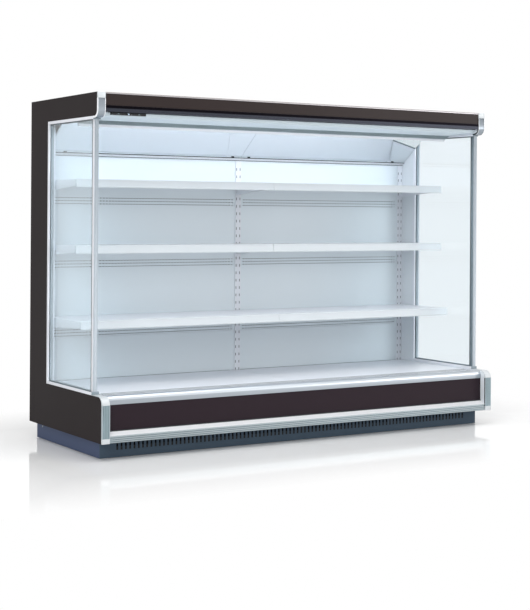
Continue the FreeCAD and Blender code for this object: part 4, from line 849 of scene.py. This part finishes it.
# One cell: a ring of eight corners stretched to an oblong hole, in a rectangle whose corners are
# four of the ring's outer copies.
punched = start(bpy.ops.mesh.primitive_circle_add, "return_grille_sheets", vertices=8,
                radius=HOLE_RADIUS, fill_type="NOTHING")
bpy.ops.object.mode_set(mode="EDIT")
bpy.ops.mesh.select_all(action="SELECT")
bpy.ops.mesh.extrude_edges_move()
bpy.ops.transform.resize(value=(HOLE_PITCH / 2 / HOLE_RADIUS, ROW_PITCH / 2 / HOLE_RADIUS, 1),
                         center_override=(0, 0, 0))
pick(punched, "VERT", lambda at: abs(at.x) > HOLE_PITCH * 0.3 and abs(at.y) > ROW_PITCH * 0.3)
bpy.ops.transform.resize(value=(math.sqrt(2), math.sqrt(2), 1), center_override=(0, 0, 0))
pick(punched, "VERT", lambda at: at.length < HOLE_RADIUS * 1.01)
bpy.ops.transform.resize(value=(1, HOLE_LENGTH / 2 / HOLE_RADIUS, 1), center_override=(0, 0, 0))
pick(punched, "VERT", lambda at: 0.001 < abs(at.x) < HOLE_RADIUS * 0.8
     and abs(at.y) > HOLE_RADIUS)
bpy.ops.transform.resize(value=HOLE_SQUARING, center_override=(0, 0, 0))
bpy.ops.mesh.select_all(action="SELECT")
bpy.ops.transform.translate(value=(first_x + HOLE_PITCH / 2, first_y + ROW_PITCH / 2, deck))
repeat(punched, HOLES, (HOLE_PITCH, 0, 0), merge=True)
turn_up(punched, 1)
repeat(punched, HOLE_ROWS, (0, ROW_PITCH, 0), merge=True)
last_x = first_x + HOLES * HOLE_PITCH
last_y = first_y + HOLE_ROWS * ROW_PITCH
grow(punched, 0, first_x, (-side_margin, 0, 0))
grow(punched, 0, last_x, (side_margin, 0, 0))
grow(punched, 1, last_y, (0, row_margin, 0), (0, 0, -REAR_FLANGE))
grow(punched, 1, first_y, (0, -row_margin, 0), (0, 0, -FRONT_FLANGE))
# Painted shade on the cut edge of each hole.
hole_edge_shade = coated("hole_edge_painted_shade", "#3b4145", 0.6, shine=0.3)
for material in (lip_white, hole_edge_shade):
    punched.data.materials.append(material)
finish_with(punched, "SOLIDIFY", thickness=0.0008, offset=-1, material_offset_rim=1)
leg = start_block("leg", (punch_low[0], punch_high[1] - 0.002, punch_low[2]),
                  (punch_low[0] + LEG_WIDTH, punch_high[1], deck - 0.02))
pick(leg, "FACE", lambda at, normal: normal.z < -0.9)
bpy.ops.mesh.inset(thickness=0.0006)
extrude((0, -0.006, 0))
leave_edit()
repeat(leg, 2, (-0.001 - LEG_WIDTH - punch_low[0], 0, 0))
punched = join(punched, leg)
both_sides(punched)
place_piece(punched, [lip_white, hole_edge_shade], instead_of=["return_grilles"])

# Its black paints the shade seen through the holes.
screen = folded("debris_screens", [(SCREEN_LEFT, y, z) for y, z in SCREEN_LINE],
                (1.246, 0, 0), 0.0006)
turn_up(screen, 1)
both_sides(screen)
place_piece(screen, [lip_black])


# ---------------------------------------------------------------- rear panels and uprights
# White coil-coated rear panels hang between the slotted uprights, with rows of short punched
# slots below each shelf that let the air out of the galvanised duct behind, which is painted
# darker as shade. A dark sheet in each upright's hook slots paints the shade in them.
SLOT_CELL = 0.0195
SLOT_ROW = 0.010
SLOT_EDGE = 0.0030
SLOT_STEP = 0.017
SLOTS = 60
BAND_TOPS = (0.614, 1.005, 1.365)  # upper edge of each band of three rows
PANEL_RIGHT = -0.0205
PANEL_FOOT = 0.566
LOWER_PANEL = (0.326, 0.565)  # heights of its lower and upper edge, as in the next two pairs
DUCT_Y = 0.4155
DUCT = (0.30, 1.595)
SLOT_SHADE_STEP = 1.235
SLOT_SHADE_LINE = ((-0.017, 0.3665), (-0.017, 0.3645), (0.017, 0.3645), (0.017, 0.3665))
SLOT_SHADE_SPAN = (0.21, 1.59)

# Smooth painted sheet with a cold white shade.
rear_white = coated("coil_coat_rear", "#e0e9ee", 0.4, shade=0.012, patchy=0.03)
paint(lip_white, "shelf_uprights", "shelf_brackets")
back_low, back_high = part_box("rear_panels")
panel_left = back_low[0]
panel_width = PANEL_RIGHT - panel_left
front_y = back_low[1]
band_height = 2 * SLOT_STEP + SLOT_ROW
slot_margin = (panel_width - SLOTS * SLOT_CELL) / 2


def slot_band(name, top):
    """Three rows of punched slots across one panel."""
    cell = start(bpy.ops.mesh.primitive_plane_add, name, size=1,
                 location=(panel_left + slot_margin + SLOT_CELL / 2, front_y,
                           top - band_height + SLOT_ROW / 2),
                 rotation=(math.radians(90), 0, 0), stretch=(SLOT_CELL, SLOT_ROW, 1))
    pick(cell, "FACE", lambda at, normal: True)
    bpy.ops.mesh.inset(thickness=SLOT_EDGE)
    bpy.ops.mesh.delete(type="ONLY_FACE")
    cell_top = top - band_height + SLOT_ROW
    grow(cell, 2, cell_top, (0, 0, SLOT_STEP - SLOT_ROW))
    repeat(cell, 3, (0, 0, SLOT_STEP), merge=True)
    repeat(cell, SLOTS, (SLOT_CELL, 0, 0), merge=True)
    return cell


bands = [slot_band("rear_panel_sheets" if i == 0 else "band", top)
         for i, top in enumerate(BAND_TOPS)]
tops = [top - band_height + 3 * SLOT_STEP for top in BAND_TOPS]
ends = [BAND_TOPS[1] - band_height, BAND_TOPS[2] - band_height, back_high[2]]
for band, top, end in zip(bands, tops, ends):
    grow(band, 2, top, (0, 0, end - top))
panels = join(*bands)
pick(panels, "VERT", lambda at: True)
bpy.ops.mesh.remove_doubles(threshold=0.00005)
foot = BAND_TOPS[0] - band_height
grow(panels, 2, foot, (0, 0, PANEL_FOOT - foot))
grow(panels, 0, panel_left + slot_margin, (-slot_margin, 0, 0))
grow(panels, 0, PANEL_RIGHT - slot_margin, (slot_margin, 0, 0))
lower = folded("lower_panel", [(panel_left, front_y, LOWER_PANEL[0]),
                               (panel_left, front_y, LOWER_PANEL[1]),
                               (panel_left, front_y + 0.012, LOWER_PANEL[1])],
               (panel_width, 0, 0), 0)
panels = join(panels, lower)
finish_with(panels, "SOLIDIFY", thickness=0.0012, offset=-1)
both_sides(panels)
place_piece(panels, [rear_white], instead_of=["rear_panels"])

# Zinc-coated sheet in darker greys: painted shade behind the panels' slots.
duct_shade = sheet_metal("galvanised_duct", "#5c6468", "#767f83", 14)
duct = folded("duct_back_sheets", [(panel_left, DUCT_Y, DUCT[0]), (panel_left, DUCT_Y, DUCT[1]),
                                   (panel_left, DUCT_Y - 0.006, DUCT[1])],
              (panel_width, 0, 0), 0.0008)
both_sides(duct)
place_piece(duct, [duct_shade])

# A matt black: painted shade in the uprights' slots, and extruded PVC on the mirror clips.
guard_black = coated("pvc_guard_black", "#1b1e20", 0.7, shine=0.2)
slot_shade = folded("upright_slot_shade", [(x, y, SLOT_SHADE_SPAN[0]) for x, y in SLOT_SHADE_LINE],
               (0, 0, SLOT_SHADE_SPAN[1] - SLOT_SHADE_SPAN[0]), 0.0005)
move(slot_shade, (-SLOT_SHADE_STEP, 0, 0))
repeat(slot_shade, 3, (SLOT_SHADE_STEP, 0, 0))
place_piece(slot_shade, [guard_black])


# ---------------------------------------------------------------- shelves and price rails
# Folded steel trays in white lacquer on plate brackets. A white PVC rail is clipped to each
# tray's front, with a shallow channel for price tickets between its two lips.
paint(lip_white, "shelf_upper", "shelf_middle", "shelf_lower")
# Extruded PVC, a cool satin white.
ticket_white = coated("pvc_rail_white", "#ced5da", 0.42, shade=0.01, patchy=0.03)
SHELVES = ((1455, 516), (1095, 516), (690, 581))  # tray top and front in millimetres
RAIL_SHAPE = ((6, -42), (13.8, -42), (14, -35), (12, -34.4), (6.9, -3.6), (8.6, -3), (7, 3),
              (0, 3), (0, -38))  # station and height from the tray's front and top
RAIL_LEFT = -1.252
rails = [folded("price_rail_sections", [at_station(station + out, top + rise, RAIL_LEFT)
                                        for out, rise in RAIL_SHAPE], (1.251, 0, 0), 0.0014)
         for top, station in SHELVES]
rails = join(*rails)
both_sides(rails)
smooth(rails, 20)
place_piece(rails, [ticket_white], instead_of=["price_rails"])


# ---------------------------------------------------------------- canopy
# A brown fascia folded over the roof's front edge, a white soffit, the grey honeycomb that the
# air curtain leaves through, a white lip with a lamp behind it, and two mirrors in a holder
# along the sloping sheet.
CELL_RADIUS = 0.00575
CELL_WALL = 0.0006
CELL_ROWS = 5
COMB_TILT = math.radians(24)
COMB_THICK = 0.018
COMB_WIDTH = 0.046
COMB_AT = (600, 1771)  # station and height of the honeycomb's front edge
CHIP_MM = 15.708
LAMP_GAP = 0.004
LAMP_WIDTH = 0.02
LAMP_WATTS = 2.6

# A dark brown coat with a dull shine, a satin line of metal with painted shade along its top, and
# smooth cool white paint.
fascia_coat = coated("powder_coat_fascia", "#281f1e", 0.42, shine=0.18)
paint(fascia_coat, "canopy_fascia")
line_metal = anodised("anodised_aluminium_line", "#aba7aa", "X", 0.38,
                      painted_shade=(2, cad_high[2], 0.0034, "#77726f"))
paint(line_metal, "canopy_top_trim")
soffit_white = coated("coil_coat_soffit", "#cbd8e0", 0.36, shade=0.012, patchy=0.03)
paint(soffit_white, "canopy_soffit")
paint(lip_white, "canopy_duct_panel")

cell = start(bpy.ops.mesh.primitive_circle_add, "honeycomb_cells", vertices=6,
             radius=CELL_RADIUS, fill_type="NGON", location=(0, CELL_RADIUS, 0))
pick(cell, "FACE", lambda at, normal: True)
bpy.ops.mesh.inset(thickness=CELL_WALL)
bpy.ops.mesh.delete(type="ONLY_FACE")
leave_edit()
cell_width = math.sqrt(3) * CELL_RADIUS
columns = int(2 * inner / cell_width) + 1
turn_up(cell, -1)
repeat(cell, columns, (cell_width, 0, 0), merge=True)
shifted, last = (bpy.data.objects.new(name, cell.data.copy()) for name in ("shifted", "last"))
for row, step in ((shifted, (cell_width / 2, 1.5 * CELL_RADIUS, 0)),
                  (last, (0, 3 * CELL_RADIUS * (CELL_ROWS // 2), 0))):
    bpy.context.scene.collection.objects.link(row)
    move(row, step)
comb = join(cell, shifted)
repeat(comb, CELL_ROWS // 2, (0, 3 * CELL_RADIUS, 0))
comb = join(comb, last)
pick(comb, "VERT", lambda at: True)
bpy.ops.mesh.remove_doubles(threshold=0.00005)
bpy.ops.mesh.select_all(action="SELECT")
bpy.ops.transform.translate(value=(-inner - cell_width / 4, 0, 0))
bpy.ops.mesh.bisect(plane_co=(-inner + 0.001, 0, 0), plane_no=(1, 0, 0), clear_inner=True)
bpy.ops.mesh.select_all(action="SELECT")
bpy.ops.mesh.bisect(plane_co=(inner - 0.001, 0, 0), plane_no=(1, 0, 0), clear_outer=True)
leave_edit()
finish_with(comb, "SOLIDIFY", thickness=COMB_THICK - 0.002, offset=-1)
border = start_block("border", (-inner, 0, 0), (inner, COMB_WIDTH, COMB_THICK))
pick(border, "FACE", lambda at, normal: abs(normal.z) > 0.9)
bpy.ops.mesh.inset(thickness=0.0025)
bpy.ops.mesh.bridge_edge_loops()
leave_edit()
comb = join(comb, border)
pick(comb, "VERT", lambda at: True)
bpy.ops.transform.rotate(value=COMB_TILT, orient_axis="X", center_override=(0, 0, 0))
bpy.ops.transform.translate(value=at_station(*COMB_AT))
leave_edit()
# Moulded polypropylene, a light bluish grey.
comb_grey = coated("pp_honeycomb_grey", "#a8b8be", 0.5, patchy=0.05)
place_piece(comb, [comb_grey], instead_of=["discharge_honeycomb"])

# A clean mirror with hardly any haze.
silver, tree, surface = blank("silvered_glass_mirror", {"Base Color": linear("#e6e9ea"),
                                                        "Metallic": 1.0})
film = add(tree, "TexNoise", {"Vector": add(tree, "TexCoord").outputs["Object"], "Scale": 3.0,
                              "Detail": 2.0})
haze = add(tree, "MapRange", {"Value": film.outputs["Fac"], "To Min": 0.01, "To Max": 0.03})
tree.links.new(haze.outputs[0], surface.inputs["Roughness"])
paint(silver, "mirrors")

MIRROR_TILT = math.radians(37.5)
MIRROR_FOOT = (117, 1600)  # station and height of the slope's lower end
HOLDER_SHAPE = ((0.030, 0.0042), (0.030, 0.0062), (0.027, 0.0062), (0.027, 0.0048),
                (0.006, 0.0048), (0.006, 0.0062), (0.003, 0.0062), (0.003, 0.0042))
CLIP = (0.018, 0.008, 0.003)


def on_mirror(up_slope, out):
    """A point so far up the mirror's slope and in front of the sheet behind it, in metres."""
    along = Vector((0, -math.cos(MIRROR_TILT), math.sin(MIRROR_TILT)))
    away = Vector((0, -math.sin(MIRROR_TILT), -math.cos(MIRROR_TILT)))
    return at_station(*MIRROR_FOOT, -inner + 0.003) + along * up_slope + away * out


holder = folded("mirror_holder", [on_mirror(*point) for point in HOLDER_SHAPE],
                (2 * inner - 0.006, 0, 0), 0)
turn_up(holder, 1)
finish_with(holder, "SOLIDIFY", thickness=0.0006, offset=-1)
middle_of_strip = (on_mirror(0.006, 0.0048) + on_mirror(0.027, 0.0048)) / 2
for face in holder.data.polygons:
    flat = Vector((0, face.center.y - middle_of_strip.y, face.center.z - middle_of_strip.z))
    face.material_index = int(flat.length > 0.008)
place_piece(holder, [strip_white, lip_black])

clip = start_block("mirror_clips", (-CLIP[0] / 2, -CLIP[1] / 2, 0),
                   (CLIP[0] / 2, CLIP[1] / 2, CLIP[2]))
pick(clip, "FACE", lambda at, normal: normal.z > 0.9)
bpy.ops.mesh.inset(thickness=0.0015)
extrude((0, 0, 0.001))
bpy.ops.mesh.select_all(action="SELECT")
bpy.ops.transform.rotate(value=math.pi - MIRROR_TILT, orient_axis="X", center_override=(0, 0, 0))
bpy.ops.transform.translate(value=on_mirror(0.036, 0.0050) + Vector((0.1, 0, 0)))
leave_edit()
repeat(clip, 2, (inner - 0.16, 0, 0))
both_sides(clip)
place_piece(clip, [guard_black])

# A milky white cover that glows in soft spots over its row of light chips.
opal, tree, surface = blank("opal_lamp_cover", {
    "Base Color": linear("#f7fbff"), "Roughness": 0.4, "Emission Color": linear("#eef6ff")})
chips = add(tree, "SeparateXYZ", {0: add(tree, "TexCoord").outputs["Object"]}).outputs[0]
chips = add(tree, "Math", {0: chips, 1: 2000 * math.pi / CHIP_MM}, operation="MULTIPLY")
chips = add(tree, "Math", {0: chips.outputs[0]}, operation="SINE")
bright = add(tree, "MapRange", {"Value": chips.outputs[0], "From Min": -1.0, "To Min": 3.4,
                                "To Max": 4.6})
tree.links.new(bright.outputs[0], surface.inputs["Emission Strength"])
paint(opal, "canopy_lamp")

lamp_low, lamp_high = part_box("canopy_lamp")
lamp = area_lamp("canopy_light", (0, (lamp_low[1] + lamp_high[1]) / 2, lamp_low[2] - LAMP_GAP),
                 lamp_high[0] - lamp_low[0], LAMP_WIDTH, LAMP_WATTS)
lamp.visible_glossy = False
lamp.visible_camera = False


# ---------------------------------------------------------------- night blind
# A wound blind of coated weave behind the fascia. Its free edge hangs into the leg of a black
# anodised, grooved pull bar, and the weave is a thin sheet of many rows, on no body.
THREAD_MM = 1.6  # drawn coarser than the real weave of about 0.6 mm
CLOTH_ROWS = 48

# Black anodised metal, with painted shade over its upper part under the fascia.
bar_metal = anodised("anodised_aluminium_black", "#3b3d45", "X", 0.42,
                     painted_shade=(2, 1.8270, 0.0095, "#121015"))
paint(bar_metal, "blind_pull_bar")
paint(zinc, "blind_brackets")

# A matt pale grey cloth whose crossing threads stand up a little.
weave, tree, surface = blank("coated_weave_grey", {"Sheen Weight": 0.2, "Roughness": 0.7})
place = add(tree, "SeparateXYZ", {0: add(tree, "TexCoord").outputs["Object"]})
threads = []
for axis in (0, 2):
    turn = add(tree, "Math", {0: place.outputs[axis], 1: 2000 * math.pi / THREAD_MM},
               operation="MULTIPLY")
    threads.append(add(tree, "Math", {0: turn.outputs[0]}, operation="SINE"))
crossing = add(tree, "Math", {0: threads[0].outputs[0], 1: threads[1].outputs[0]},
               operation="MULTIPLY")
lift = add(tree, "MapRange", {"Value": crossing.outputs[0], "From Min": -1.0})
tone = add(tree, "Mix", {0: lift.outputs[0], 6: linear("#9aa2a6"), 7: linear("#c6ccd0")},
           data_type="RGBA")
tree.links.new(tone.outputs[2], surface.inputs["Base Color"])
bump = add(tree, "Bump", {"Height": lift.outputs[0], "Distance": 0.0002, "Strength": 0.6})
tree.links.new(bump.outputs[0], surface.inputs["Normal"])
paint(weave, "blind_roller")

cloth_low, cloth_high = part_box("blind_cloth")
cloth_z = (cloth_low[2] + cloth_high[2]) / 2
cloth = start(bpy.ops.mesh.primitive_grid_add, "blind_sheet", x_subdivisions=4,
              y_subdivisions=CLOTH_ROWS, size=1,
              location=(0, (cloth_low[1] + cloth_high[1]) / 2, cloth_z),
              rotation=(math.radians(90), 0, 0),
              stretch=(cloth_high[0] - cloth_low[0], cloth_high[2] - cloth_low[2], 1))
finish_with(cloth, "SOLIDIFY", thickness=0.0006, offset=0)
place_piece(cloth, [weave], body=None, instead_of=["blind_cloth"])
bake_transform(cloth)


# ---------------------------------------------------------------- controls
# A black moulded housing under the soffit with grey keys and a dark window, behind which the
# pale digits of a thermometer glow.
WINDOW_HALF = (0.0168, 0.0038)
DIGIT_HEIGHT = 0.0085

paint(nylon_black, "control_housing")
paint(grey_plastic, "set_button", "lamp_button")
house_low, house_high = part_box("control_housing")
window_x = (house_low[0] + house_high[0]) / 2
window_z = (house_low[2] + house_high[2]) / 2
window = start_block(
    "display_window",
    (window_x - WINDOW_HALF[0], house_low[1] + 0.0002, window_z - WINDOW_HALF[1]),
    (window_x + WINDOW_HALF[0], house_low[1] + 0.00074, window_z + WINDOW_HALF[1]))
ease(window, 0.0002)
# Glossy acrylic, smoked nearly black.
smoked = coated("acrylic_smoked", "#101216", 0.12, patchy=0.05)
place_piece(window, [smoked])

bpy.ops.object.select_all(action="DESELECT")
bpy.ops.object.text_add(location=(0, 0, 0))
digits = bpy.context.object
digits.name = "display_digits"
digits.data.body = "2.5"
digits.data.size = DIGIT_HEIGHT
digits.data.extrude = 0.00005
digits.data.align_x = "CENTER"
digits.data.align_y = "CENTER"
digits.data.resolution_u = 3
bpy.ops.object.convert(target="MESH")
digits.rotation_euler = (math.radians(90), 0, 0)
digits.location = (window_x, house_low[1] + 0.00012, window_z)
bpy.ops.object.transform_apply(location=True, rotation=True, scale=True)
pick(digits, "VERT", lambda at: True)
bpy.ops.mesh.remove_doubles(threshold=0.000001)

# Pale bluish light, a little uneven over each digit.
glow_white, tree, surface = blank("led_digits_white", {
    "Base Color": linear("#cfe4f6"), "Emission Color": linear("#d4e9ff")})
grid = add(tree, "TexNoise", {"Vector": add(tree, "TexCoord").outputs["Object"],
                              "Scale": 900.0})
level = add(tree, "MapRange", {"Value": grid.outputs["Fac"], "To Min": 1.6, "To Max": 2.2})
tree.links.new(level.outputs[0], surface.inputs["Emission Strength"])
place_piece(digits, [glow_white])
